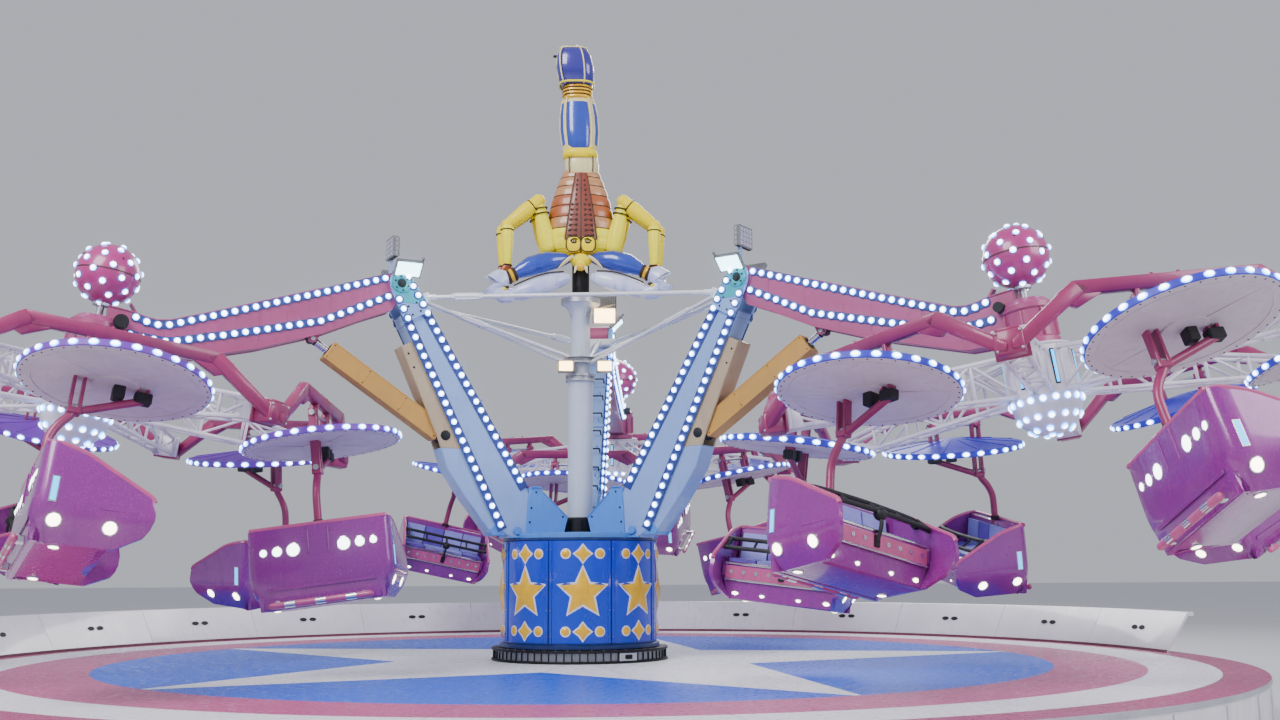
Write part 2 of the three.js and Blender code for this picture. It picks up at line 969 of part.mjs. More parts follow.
const shapes = {
  boom: geometryOf(boom()),
  ball: geometryOf(lightBall()),
  barrel: geometryOf(ramBarrel()),
  rod: geometryOf(ramRod()),
  spider: geometryOf(spider()),
  bridge: geometryOf(bridgeRing()),
  hanger: geometryOf(hanger()),
  tub: geometryOf(tub()),
};

for (const { side, bearing, turn } of BOOMS) {
  const arm = new THREE.Group();
  arm.rotation.z = THREE.MathUtils.degToRad(90 - bearing);
  deck.add(arm);
  place(arm, "boom_" + side, shapes.boom, "pink");
  place(arm, "light_ball_" + side, shapes.ball, "ball");
  place(arm, "ram_barrel_" + side, shapes.barrel, "amber");
  place(arm, "ram_rod_" + side, shapes.rod, "steel");

  const carrier = new THREE.Group();
  carrier.applyMatrix4(spiderFrame);
  arm.add(carrier);
  const wheel = new THREE.Group();
  wheel.rotation.z = THREE.MathUtils.degToRad(turn);
  carrier.add(wheel);
  place(wheel, "spider_" + side, shapes.spider, "spider");
  place(wheel, "bridge_ring_" + side, shapes.bridge, "pink");

  for (let i = 0; i < ARM_COUNT; i += 1) {
    const seat = new THREE.Group();
    seat.rotation.z = ((i + 0.5) * 2 * Math.PI) / ARM_COUNT;
    wheel.add(seat);
    const swing = new THREE.Group();
    swing.position.set(BEAM_DISTANCE, 0, PIN_HEIGHT);
    swing.rotation.y = THREE.MathUtils.degToRad(-SWING_OUT);
    seat.add(swing);
    const number = String(i + 1);
    place(swing, "hanger_" + side + "_" + number, shapes.hanger, "pink");
    place(swing, "gondola_" + side + "_" + number, shapes.tub, "tub");
  }
}

export default object;
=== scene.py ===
"""Looks of a three-arm spider gondola ride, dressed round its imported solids.

Metres, Z up. A boom's pieces are drawn in that boom's frame (X outwards, Z up from the
deck), a spider's in the frame of its hub, and a gondola's in the frame of its swing pin
(X outwards, Y the way the riders face).
"""

import logging
import math
from dataclasses import dataclass
from enum import Enum
from typing import Callable, Sequence

import bmesh
import bpy
from mathutils import Matrix, Vector


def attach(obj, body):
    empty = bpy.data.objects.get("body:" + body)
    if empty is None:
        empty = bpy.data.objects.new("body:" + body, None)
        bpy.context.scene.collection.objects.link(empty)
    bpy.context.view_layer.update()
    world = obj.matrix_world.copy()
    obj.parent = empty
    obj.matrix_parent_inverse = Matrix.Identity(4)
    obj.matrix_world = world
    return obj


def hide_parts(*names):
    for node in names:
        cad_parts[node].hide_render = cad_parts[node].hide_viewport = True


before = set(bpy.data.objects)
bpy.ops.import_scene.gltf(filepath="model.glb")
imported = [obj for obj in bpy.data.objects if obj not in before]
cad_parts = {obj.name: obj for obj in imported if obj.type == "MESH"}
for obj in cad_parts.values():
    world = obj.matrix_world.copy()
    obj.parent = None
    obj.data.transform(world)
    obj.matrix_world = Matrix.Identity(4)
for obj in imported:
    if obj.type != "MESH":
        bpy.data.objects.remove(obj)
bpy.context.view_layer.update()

log = logging.getLogger("ride")
Point = Sequence[float]
Value = float | tuple | bpy.types.NodeSocket
BOTH = (-1, 1)
DECK_HEIGHT = 0.45
DRUM_LID = 1.4403
BEARING_AT = (5.8, 0, 2.73)
BEARING_TILT = -8.6
PIN_RADIUS = 2.55
PIN_HEIGHT = 0.27
GONDOLA_SWING = -15
LAMP = {"Spacing": 0.118, "Radius": 0.037, "Height": 0.034, "Sides": 10}


class Side(Enum):
    """The three booms: bearing clockwise from +Y, and the turn of the spider below."""

    REAR = ("rear", 6.2, 20.0)
    RIGHT = ("right", 126.2, -18.7)
    LEFT = ("left", 246.2, 3.9)

    @property
    def label(self) -> str:
        """The word that ends the names of this boom's pieces."""
        return self.value[0]

    @property
    def arm(self) -> Matrix:
        """The boom's frame: X outwards, Z up from the deck."""
        return move(0, 0, DECK_HEIGHT) @ turn(90 - self.value[1])

    @property
    def carrier(self) -> Matrix:
        """The tilted frame of the spider's bearing."""
        return self.arm @ move(*BEARING_AT) @ turn(BEARING_TILT, "Y")

    @property
    def wheel(self) -> Matrix:
        """The spider's own frame, turned as it stands."""
        return self.carrier @ turn(self.value[2])

    def gondola(self, index: int) -> Matrix:
        """The frame of one gondola's swing pin.

        Args:
            index: The gondola's place on the spider, from 0.

        Returns:
            The frame, swung outwards as the gondola hangs at rest.
        """
        pin = self.wheel @ turn((index + 0.5) * 60) @ move(PIN_RADIUS, 0, PIN_HEIGHT)
        return pin @ turn(GONDOLA_SWING, "Y")


def turn(degrees: float, axis: str = "Z") -> Matrix:
    """A turn about an axis."""
    return Matrix.Rotation(math.radians(degrees), 4, axis)


def move(x: float, y: float, z: float) -> Matrix:
    """A shift."""
    return Matrix.Translation((x, y, z))


def raised(profile: Sequence[Point], by: float) -> list[Point]:
    """A profile of radius and height, lifted."""
    return [(r, by + z) for r, z in profile]


def linear(code: str) -> tuple[float, float, float, float]:
    """A paint code such as 8e2f86 in linear light.

    Args:
        code: Two hex digits each for red, green and blue.

    Returns:
        The light, with 1 for its alpha.
    """
    parts = [int(code[i : i + 2], 16) / 255 for i in (0, 2, 4)]
    light = [p / 12.92 if p <= 0.04045 else ((p + 0.055) / 1.055) ** 2.4 for p in parts]
    return (*light, 1.0)


def smooth_path(points: Sequence[Point], steps: int = 6) -> list[Vector]:
    """A rounded line through points.

    Args:
        points: The points that it passes.
        steps: How many pieces each stretch is cut into.

    Returns:
        Points along the line.
    """
    p = [Vector(x) for x in points]
    p = [2 * p[0] - p[1], *p, 2 * p[-1] - p[-2]]
    made = []
    for i in range(1, len(p) - 2):
        for s in range(steps):
            t = s / steps
            made.append(
                0.5
                * (
                    2 * p[i] + (p[i + 1] - p[i - 1]) * t
                    + (2 * p[i - 1] - 5 * p[i] + 4 * p[i + 1] - p[i + 2]) * t * t
                    + (3 * p[i] - p[i - 1] - 3 * p[i + 1] + p[i + 2]) * t**3
                )
            )
    return [*made, p[-2]]


class Shape:
    """Closed shells gathered into one mesh, with a main finish and any others by name."""

    def __init__(self, main: "Finish | None" = None) -> None:
        """Starts an empty shape with its main finish.

        Args:
            main: The main finish, or None where a tree gives it.
        """
        self.points: list[Vector] = []
        self.faces: list[list[int]] = []
        self.marks: list[int] = []
        self.finishes = [main]

    def mark(self, paint: "Finish | None") -> int:
        """The number of a finish in this mesh.

        Args:
            paint: The finish, or None for the main one.

        Returns:
            Its number, a new one where the finish is new.
        """
        if paint is None:
            return 0
        if paint not in self.finishes:
            self.finishes.append(paint)
        return self.finishes.index(paint)

    def take(
        self, part: bmesh.types.BMesh, paint: "Finish | None", place: Matrix | None, own: bool = False,
    ) -> None:
        """Adds a shell and frees it.

        Args:
            part: The shell.
            paint: Its finish, or None for the main one.
            place: Where it goes, or None to leave it.
            own: Whether each face keeps the finish that it has.
        """
        mark = self.mark(paint)
        part.verts.index_update()
        base = len(self.points)
        place = place or Matrix()
        self.points.extend(place @ v.co for v in part.verts)
        self.faces.extend([base + v.index for v in f.verts] for f in part.faces)
        self.marks.extend(f.material_index if own else mark for f in part.faces)
        part.free()

    def block(
        self, size: Point, middle: Point, paint: "Finish | None" = None, bevel: float = 0.004,
        place: Matrix | None = None,
    ) -> None:
        """A box by its sides and its middle.

        Args:
            size: Its three sides.
            middle: Its middle.
            paint: Its finish, or None for the main one.
            bevel: How far its edges are taken off.
            place: Where it goes.
        """
        part = bmesh.new()
        bmesh.ops.create_cube(part, size=1, matrix=move(*middle) @ Matrix.Diagonal((*size, 1)))
        ease(part, bevel)
        self.take(part, paint, place)

    def bar(
        self, a: Point, b: Point, wide: float, deep: float, paint: "Finish | None" = None,
        bevel: float = 0.004, place: Matrix | None = None,
    ) -> None:
        """A square bar between two points.

        Args:
            a: One end.
            b: The other end.
            wide: Its level side.
            deep: Its standing side.
            paint: Its finish, or None for the main one.
            bevel: How far its edges are taken off.
            place: Where it goes.
        """
        a, b = Vector(a), Vector(b)
        along = (b - a).normalized()
        level = Vector((-along.y, along.x, 0))
        level = level.normalized() if level.length > 1e-6 else Vector((1, 0, 0))
        across = along.cross(level)
        stand = Matrix((level, across, along)).transposed().to_4x4()
        stand.translation = (a + b) / 2
        self.block((wide, deep, (b - a).length), (0, 0, 0), paint, bevel, (place or Matrix()) @ stand)

    def tube(
        self, a: Point, b: Point, radius: float, paint: "Finish | None" = None, sides: int = 12,
        far: float | None = None, place: Matrix | None = None,
    ) -> None:
        """A round bar between two points.

        Args:
            a: One end.
            b: The other end.
            radius: Its radius.
            paint: Its finish, or None for the main one.
            sides: Its number of sides.
            far: Its radius at b, if that differs.
            place: Where it goes.
        """
        a, b = Vector(a), Vector(b)
        spin = (b - a).to_track_quat("Z", "Y").to_matrix().to_4x4()
        spin.translation = (a + b) / 2
        part = bmesh.new()
        bmesh.ops.create_cone(
            part, cap_ends=True, segments=sides, radius1=radius, radius2=radius if far is None else far,
            depth=(b - a).length, matrix=spin,
        )
        self.take(part, paint, place)

    def pipe(
        self, path: Sequence[Point], radius: float, paint: "Finish | None" = None, sides: int = 8,
        place: Matrix | None = None,
    ) -> None:
        """A round tube along a line.

        Args:
            path: The line's points.
            radius: The tube's radius.
            paint: Its finish, or None for the main one.
            sides: Its number of sides.
            place: Where it goes.
        """
        p = [Vector(x) for x in path]
        side = (p[1] - p[0]).orthogonal().normalized()
        rings = []
        for i, middle in enumerate(p):
            along = (p[min(i + 1, len(p) - 1)] - p[max(i - 1, 0)]).normalized()
            side = (side - along * side.dot(along)).normalized()
            other = along.cross(side)
            angles = [2 * math.pi * k / sides for k in range(sides)]
            rings.append([middle + radius * (side * math.cos(a) + other * math.sin(a)) for a in angles])
        self.loft(rings, paint, place)

    def slab(
        self, outline: Sequence[Point], low: float, high: float, axis: str = "y",
        paint: "Finish | None" = None, bevel: float = 0.004, place: Matrix | None = None,
    ) -> None:
        """A plate with a drawn outline.

        Args:
            outline: Its corners in the plane across the axis.
            low: Where it starts along the axis.
            high: Where it ends along the axis.
            axis: The axis of its thickness, x, y or z.
            paint: Its finish, or None for the main one.
            bevel: How far its edges are taken off.
            place: Where it goes.
        """
        order = {
            "x": lambda u, v, w: (w, u, v), "y": lambda u, v, w: (u, w, v), "z": lambda u, v, w: (u, v, w),
        }[axis]
        part = bmesh.new()
        rows = [[part.verts.new(order(u, v, w)) for u, v in outline] for w in (low, high)]
        part.faces.new(rows[0])
        part.faces.new(rows[1][::-1])
        for i in range(len(outline)):
            k = (i + 1) % len(outline)
            part.faces.new((rows[0][i], rows[0][k], rows[1][k], rows[1][i]))
        bmesh.ops.recalc_face_normals(part, faces=part.faces[:])
        ease(part, bevel)
        self.take(part, paint, place)

    def lathe(
        self, profile: Sequence[Point], sides: int = 48, paint: "Finish | None" = None,
        place: Matrix | None = None, bands: Sequence["Finish"] | None = None, start: float = 0.0,
        sweep: float = 360.0,
    ) -> None:
        """A body turned round Z from a closed profile of radius and height.

        Args:
            profile: Its corners, which start and end on the axis or close on themselves.
            sides: Its number of sides.
            paint: Its finish, or None for the main one.
            place: Where it goes.
            bands: A finish for each side of the profile, instead of paint.
            start: The first angle, in degrees.
            sweep: How far it goes round, in degrees.
        """
        part = bmesh.new()
        marks = [self.mark(x) for x in bands] if bands else [self.mark(paint)] * len(profile)
        full = sweep >= 360
        stations = sides if full else sides + 1
        rows = []
        for r, z in profile:
            if r == 0:
                pole = part.verts.new((0, 0, z))
                rows.append([pole] * stations)
                continue
            angles = [math.radians(start + sweep * j / sides) for j in range(stations)]
            rows.append([part.verts.new((r * math.cos(a), r * math.sin(a), z)) for a in angles])
        for i, low in enumerate(rows):
            high = rows[(i + 1) % len(rows)]
            if profile[i][0] == 0 and profile[(i + 1) % len(rows)][0] == 0:
                continue
            for j in range(sides):
                k = (j + 1) % stations
                corners = list(dict.fromkeys((low[j], low[k], high[k], high[j])))
                face = part.faces.new(corners)
                face.material_index = marks[i]
        if not full:
            for end in (0, stations - 1):
                face = part.faces.new([row[end] for row in rows])
                face.material_index = marks[0]
        bmesh.ops.recalc_face_normals(part, faces=part.faces[:])
        self.take(part, None, place, own=True)

    def ball(
        self, radii: Point, middle: Point, paint: "Finish | None" = None, sides: int = 16, rings: int = 10,
        place: Matrix | None = None,
    ) -> None:
        """An egg-shaped body.

        Args:
            radii: Its three radii.
            middle: Its middle.
            paint: Its finish, or None for the main one.
            sides: How many sides it has round Z.
            rings: How many bands it has from pole to pole.
            place: Where it goes.
        """
        part = bmesh.new()
        bmesh.ops.create_uvsphere(
            part, u_segments=sides, v_segments=rings, radius=1,
            matrix=move(*middle) @ Matrix.Diagonal((*radii, 1)),
        )
        self.take(part, paint, place)

    def loft(
        self, rings: Sequence[Sequence[Point]], paint: "Finish | None" = None, place: Matrix | None = None,
        loop: bool = False,
    ) -> None:
        """A skin over rings of points, closed at its ends.

        Args:
            rings: Rings with the same number of points each.
            paint: Its finish, or None for the main one.
            place: Where it goes.
            loop: Whether the last ring joins the first.
        """
        part = bmesh.new()
        rows = [[part.verts.new(p) for p in ring] for ring in rings]
        count = len(rows[0])
        for i in range(len(rows) if loop else len(rows) - 1):
            low, high = rows[i], rows[(i + 1) % len(rows)]
            for j in range(count):
                k = (j + 1) % count
                part.faces.new((low[j], low[k], high[k], high[j]))
        if not loop:
            part.faces.new(rows[0])
            part.faces.new(rows[-1][::-1])
        bmesh.ops.recalc_face_normals(part, faces=part.faces[:])
        self.take(part, paint, place)

    def mesh(self, name: str, paints: "Finishes | None" = None, sharp: float = 35.0) -> bpy.types.Mesh:
        """The mesh, smooth but for its sharp edges.

        Args:
            name: The mesh's name.
            paints: Every material, or None where a tree gives the finish.
            sharp: The angle past which an edge stays sharp, in degrees.

        Returns:
            The mesh.
        """
        made = bpy.data.meshes.new(name)
        made.from_pydata(self.points, [], self.faces)
        for finish in self.finishes if paints else ():
            made.materials.append(paints[finish])
        made.polygons.foreach_set("material_index", self.marks)
        made.shade_smooth()
        made.set_sharp_from_angle(angle=math.radians(sharp))
        made.update()
        return made


def ease(part: bmesh.types.BMesh, bevel: float) -> None:
    """Takes the sharp edges off a shell.

    Args:
        part: The shell.
        bevel: How far its edges are taken off.
    """
    if bevel > 0:
        edges = [e for e in part.edges if e.calc_face_angle(0) > 0.45]
        bmesh.ops.bevel(
            part, geom=edges, offset=bevel, segments=1, profile=0.5, affect="EDGES", clamp_overlap=True,
        )


def ring_of(
    x: float, y: float, z: float, rx: float, ry: float, count: int = 20, square: float = 2.0,
    tilt: Matrix | None = None,
) -> list[Vector]:
    """A level ring of points, round or nearly square.

    Args:
        x: The middle's x.
        y: The middle's y.
        z: The middle's height.
        rx: The half width.
        ry: The half depth.
        count: The number of points.
        square: 2 for an ellipse, more for squarer corners.
        tilt: A turn about the middle.

    Returns:
        The points.
    """
    middle = Vector((x, y, z))
    made = []
    for k in range(count):
        c, s = math.cos(2 * math.pi * k / count), math.sin(2 * math.pi * k / count)
        u = math.copysign(abs(c) ** (2 / square), c) * rx
        v = math.copysign(abs(s) ** (2 / square), s) * ry
        offset = Vector((u, v, 0))
        made.append(middle + (tilt.to_3x3() @ offset if tilt else offset))
    return made


def put(
    mesh: bpy.types.Mesh, name: str, body: str, place: Matrix | None = None,
    replaces: Sequence[str] = (),
) -> bpy.types.Object:
    """Puts a copy of a mesh in its place as a piece of the object.

    Args:
        mesh: The mesh in its own frame.
        name: The piece's name.
        body: The body that it rides on.
        place: Its frame.
        replaces: The solids that it stands for.

    Returns:
        The piece.
    """
    own = mesh.copy()
    own.name = name
    if place is not None:
        own.transform(place)
    piece = bpy.data.objects.new(name, own)
    bpy.context.scene.collection.objects.link(piece)
    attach(piece, body)
    if replaces:
        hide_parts(*replaces)
    log.info("%s rides on %s, %d faces", name, body, len(own.polygons))
    return piece


class Nodes:
    """Adds and joins nodes in a tree."""

    def __init__(self, tree: bpy.types.NodeTree) -> None:
        """Keeps the tree."""
        self.tree = tree

    def add(self, kind: str, inputs: dict | None = None, **settings: object) -> bpy.types.Node:
        """Adds a node.

        Args:
            kind: The node's type.
            inputs: Values or sockets for its inputs.
            settings: Its own options.

        Returns:
            The node.
        """
        node = self.tree.nodes.new(kind)
        for key, value in settings.items():
            setattr(node, key, value)
        for key, value in (inputs or {}).items():
            if isinstance(value, bpy.types.NodeSocket):
                self.tree.links.new(value, node.inputs[key])
            else:
                node.inputs[key].default_value = value
        return node

    def maths(self, operation: str, *values: Value) -> bpy.types.NodeSocket:
        """The result of a sum on values or sockets."""
        node = self.add("ShaderNodeMath", {i: v for i, v in enumerate(values)}, operation=operation)
        return node.outputs[0]

    def blend(self, share: Value, a: Value, b: Value) -> bpy.types.NodeSocket:
        """A colour between a and b.

        Args:
            share: How much of b, from 0 to 1.
            a: The first colour.
            b: The second colour.

        Returns:
            The socket of the result.
        """
        node = self.add("ShaderNodeMix", data_type="RGBA")
        for key, value in ((0, share), (6, a), (7, b)):
            if isinstance(value, bpy.types.NodeSocket):
                self.tree.links.new(value, node.inputs[key])
            else:
                node.inputs[key].default_value = value
        return node.outputs[2]

    def spread(
        self, value: Value, low: float, high: float, to_low: float, to_high: float,
    ) -> bpy.types.NodeSocket:
        """A value taken from one range to another and held inside it."""
        keys = {"Value": value, "From Min": low, "From Max": high, "To Min": to_low, "To Max": to_high}
        return self.add("ShaderNodeMapRange", keys).outputs["Result"]


def group(
    name: str, inputs: dict[str, float], outputs: Sequence[str], fill: Callable,
) -> bpy.types.NodeTree:
    """A shader node group, built once.

    Args:
        name: The group's name.
        inputs: Its inputs and their first values.
        outputs: Its outputs, all numbers.
        fill: Adds the nodes, given the tools and the input sockets, and returns the outputs.

    Returns:
        The group.
    """
    if name in bpy.data.node_groups:
        return bpy.data.node_groups[name]
    tree = bpy.data.node_groups.new(name, "ShaderNodeTree")
    for key, value in inputs.items():
        tree.interface.new_socket(key, in_out="INPUT", socket_type="NodeSocketFloat").default_value = value
    for key in outputs:
        tree.interface.new_socket(key, in_out="OUTPUT", socket_type="NodeSocketFloat")
    n = Nodes(tree)
    start = n.add("NodeGroupInput")
    end = n.add("NodeGroupOutput")
    for key, socket in zip(outputs, fill(n, start.outputs)):
        tree.links.new(socket, end.inputs[key])
    return tree


def mottling() -> bpy.types.NodeTree:
    """Soft patches over the whole surface: Mask is 0 to 1.

    Returns:
        The group.
    """

    def fill(n: Nodes, given: bpy.types.NodeOutputs) -> list[bpy.types.NodeSocket]:
        """Adds the nodes.

        Args:
            n: Adds the nodes.
            given: The group's inputs.

        Returns:
            The sockets of its outputs.
        """
        at = n.add("ShaderNodeTexCoord").outputs["Object"]
        noise = n.add(
            "ShaderNodeTexNoise", {"Vector": at, "Scale": given["Scale"], "Detail": 6.0, "Roughness": 0.62},
        )
        low = n.maths("SUBTRACT", 0.52, given["Spread"])
        high = n.maths("ADD", 0.52, given["Spread"])
        keys = {"Value": noise.outputs[0], "From Min": low, "From Max": high}
        return [n.add("ShaderNodeMapRange", keys).outputs["Result"]]

    return group("Mottling", {"Scale": 4.0, "Spread": 0.18}, ["Mask"], fill)


def streaking() -> bpy.types.NodeTree:
    """Long marks that run down a surface: Mask is 0 to 1.

    Returns:
        The group.
    """

    def fill(n: Nodes, given: bpy.types.NodeOutputs) -> list[bpy.types.NodeSocket]:
        """Adds the nodes.

        Args:
            n: Adds the nodes.
            given: The group's inputs.

        Returns:
            The sockets of its outputs.
        """
        at = n.add("ShaderNodeTexCoord").outputs["Object"]
        long = n.add("ShaderNodeMapping", {"Vector": at, "Scale": (1.0, 1.0, 0.12)})
        noise = n.add(
            "ShaderNodeTexNoise", {"Vector": long.outputs[0], "Scale": given["Scale"], "Detail": 4.0},
        )
        return [n.spread(noise.outputs[0], 0.46, 0.72, 0.0, 1.0)]

    return group("Streaking", {"Scale": 14.0}, ["Mask"], fill)


def fine_relief() -> bpy.types.NodeTree:
    """The small waves of a sprayed or moulded skin: Height is 0 to 1.

    Returns:
        The group.
    """

    def fill(n: Nodes, given: bpy.types.NodeOutputs) -> list[bpy.types.NodeSocket]:
        """Adds the nodes.

        Args:
            n: Adds the nodes.
            given: The group's inputs.

        Returns:
            The sockets of its outputs.
        """
        at = n.add("ShaderNodeTexCoord").outputs["Object"]
        noise = n.add("ShaderNodeTexNoise", {"Vector": at, "Scale": given["Scale"], "Detail": 3.0})
        slow = n.add(
            "ShaderNodeTexNoise", {"Vector": at, "Scale": n.maths("MULTIPLY", given["Scale"], 0.07)},
        )
        return [n.maths("ADD", n.maths("MULTIPLY", noise.outputs[0], 0.4), slow.outputs[0])]

    return group("Fine relief", {"Scale": 90.0}, ["Height"], fill)


def flake_field() -> bpy.types.NodeTree:
    """Glitter flakes set in a clear skin: Shine marks the bright ones, Height tips each.

    Returns:
        The group.
    """

    def fill(n: Nodes, given: bpy.types.NodeOutputs) -> list[bpy.types.NodeSocket]:
        """Adds the nodes.

        Args:
            n: Adds the nodes.
            given: The group's inputs.

        Returns:
            The sockets of its outputs.
        """
        at = n.add("ShaderNodeTexCoord").outputs["Object"]
        cells = n.add("ShaderNodeTexVoronoi", {"Vector": at, "Scale": given["Scale"]})
        parts = n.add("ShaderNodeSeparateColor", {0: cells.outputs["Color"]})
        return [n.spread(parts.outputs[0], 0.92, 0.99, 0.0, 1.0), parts.outputs[1]]

    return group("Flake field", {"Scale": 220.0}, ["Shine", "Height"], fill)


def tread_relief() -> bpy.types.NodeTree:
    """Raised bars of a tread plate, one way and then the other: Height is 0 to 1.

    Returns:
        The group.
    """

    def fill(n: Nodes, given: bpy.types.NodeOutputs) -> list[bpy.types.NodeSocket]:
        """Adds the nodes.

        Args:
            n: Adds the nodes.
            given: The group's inputs.

        Returns:
            The sockets of its outputs.
        """
        at = n.add("ShaderNodeTexCoord").outputs["Object"]
        waves = []
        for angle in (45, -45):
            turned = n.add("ShaderNodeMapping", {"Vector": at, "Rotation": (0, 0, math.radians(angle))})
            axes = n.add("ShaderNodeSeparateXYZ", {0: turned.outputs[0]}).outputs
            long = n.maths("SINE", n.maths("MULTIPLY", axes[0], given["Scale"]))
            thin = n.maths("SINE", n.maths("MULTIPLY", axes[1], n.maths("MULTIPLY", given["Scale"], 2.6)))
            waves.append(
                n.spread(n.maths("MULTIPLY", n.maths("MAXIMUM", long, 0.0), thin), 0.35, 0.7, 0.0, 1.0)
            )
        return [n.maths("MAXIMUM", *waves)]

    return group("Tread relief", {"Scale": 60.0}, ["Height"], fill)


def star_field() -> bpy.types.NodeTree:
    """A star of straight-sided rays round the Z axis: Mask is 1 inside it.

    Returns:
        The group.
    """

    def fill(n: Nodes, given: bpy.types.NodeOutputs) -> list[bpy.types.NodeSocket]:
        """Adds the nodes.

        Args:
            n: Adds the nodes.
            given: The group's inputs.

        Returns:
            The sockets of its outputs.
        """
        at = n.add("ShaderNodeTexCoord").outputs["Object"]
        axes = n.add("ShaderNodeSeparateXYZ", {0: at}).outputs
        radius = n.maths(
            "SQRT", n.maths("ADD", n.maths("POWER", axes[0], 2.0), n.maths("POWER", axes[1], 2.0)),
        )
        angle = n.maths("SUBTRACT", n.maths("ARCTAN2", axes[1], axes[0]), given["Start"])
        step = n.maths("DIVIDE", 2 * math.pi, given["Rays"])
        folded = n.maths("WRAP", angle, n.maths("MULTIPLY", step, 0.5), n.maths("MULTIPLY", step, -0.5))
        folded = n.maths("ABSOLUTE", folded)
        x = n.maths("MULTIPLY", radius, n.maths("COSINE", folded))
        y = n.maths("MULTIPLY", radius, n.maths("SINE", folded))
        half = n.maths("MULTIPLY", step, 0.5)
        nx = n.maths("MULTIPLY", given["Inner"], n.maths("COSINE", half))
        ny = n.maths("MULTIPLY", given["Inner"], n.maths("SINE", half))
        run, rise = n.maths("SUBTRACT", nx, given["Outer"]), ny
        cross = n.maths(
            "SUBTRACT", n.maths("MULTIPLY", run, y),
            n.maths("MULTIPLY", rise, n.maths("SUBTRACT", x, given["Outer"])),
        )
        return [n.spread(cross, -0.01, 0.01, 0.0, 1.0), radius]

    inputs = {"Rays": 5.0, "Start": 0.0, "Inner": 2.2, "Outer": 5.6}
    return group("Star field", inputs, ["Mask", "Radius"], fill)


@dataclass(frozen=True)
class Paint:
    """A painted, plated or moulded finish, mottled and streaked, with a fine relief."""

    name: str
    colour: str
    worn: str
    roughness: float = 0.35
    metallic: float = 0.0
    coat: float = 0.0
    wear: float = 0.4
    patches: float = 3.0
    grain: float = 90.0
    relief: float = 0.08
    flakes: str | None = None
    shine: float = 0.5

    def build(self) -> bpy.types.Material:
        """Builds the material's nodes.

        Returns:
            The material.
        """
        material = bpy.data.materials.new(self.name)
        material.use_nodes = True
        n = Nodes(material.node_tree)
        shader = material.node_tree.nodes["Principled BSDF"]
        patch = n.add("ShaderNodeGroup", node_tree=mottling())
        patch.inputs["Scale"].default_value = self.patches
        streak = n.add("ShaderNodeGroup", node_tree=streaking())
        relief = n.add("ShaderNodeGroup", node_tree=fine_relief())
        relief.inputs["Scale"].default_value = self.grain
        share = n.maths("MULTIPLY", n.maths("MAXIMUM", patch.outputs[0], streak.outputs[0]), self.wear)
        colour = n.blend(share, linear(self.colour), linear(self.worn))
        rough = n.spread(share, 0.0, 1.0, self.roughness, min(1.0, self.roughness + 0.35))
        height = relief.outputs[0]
        if self.flakes:
            flake = n.add("ShaderNodeGroup", node_tree=flake_field())
            colour = n.blend(flake.outputs["Shine"], colour, linear(self.flakes))
            height = n.maths("ADD", height, n.maths("MULTIPLY", flake.outputs["Height"], 0.5))
        bump = n.add("ShaderNodeBump", {"Height": height, "Strength": self.relief, "Distance": 0.004})
        tree = material.node_tree
        tree.links.new(colour, shader.inputs["Base Color"])
        tree.links.new(rough, shader.inputs["Roughness"])
        tree.links.new(bump.outputs[0], shader.inputs["Normal"])
        shader.inputs["Metallic"].default_value = self.metallic
        shader.inputs["Coat Weight"].default_value = self.coat
        shader.inputs["Coat Roughness"].default_value = 0.08
        shader.inputs["Specular IOR Level"].default_value = self.shine
        return material


@dataclass(frozen=True)
class Glow:
    """A lit lens: white at its crown and coloured towards its rim."""

    name: str
    crown: str
    rim: str
    strength: float

    def build(self) -> bpy.types.Material:
        """Builds the material's nodes.

        Returns:
            The material.
        """
        material = bpy.data.materials.new(self.name)
        material.use_nodes = True
        n = Nodes(material.node_tree)
        shader = material.node_tree.nodes["Principled BSDF"]
        core = n.add("ShaderNodeAttribute", attribute_name="core")
        share = n.spread(core.outputs["Fac"], 0.35, 0.85, 0.0, 1.0)
        colour = n.blend(share, linear(self.rim), linear(self.crown))
        tree = material.node_tree
        tree.links.new(colour, shader.inputs["Base Color"])
        tree.links.new(colour, shader.inputs["Emission Color"])
        shader.inputs["Emission Strength"].default_value = self.strength
        shader.inputs["Roughness"].default_value = 0.2
        return material


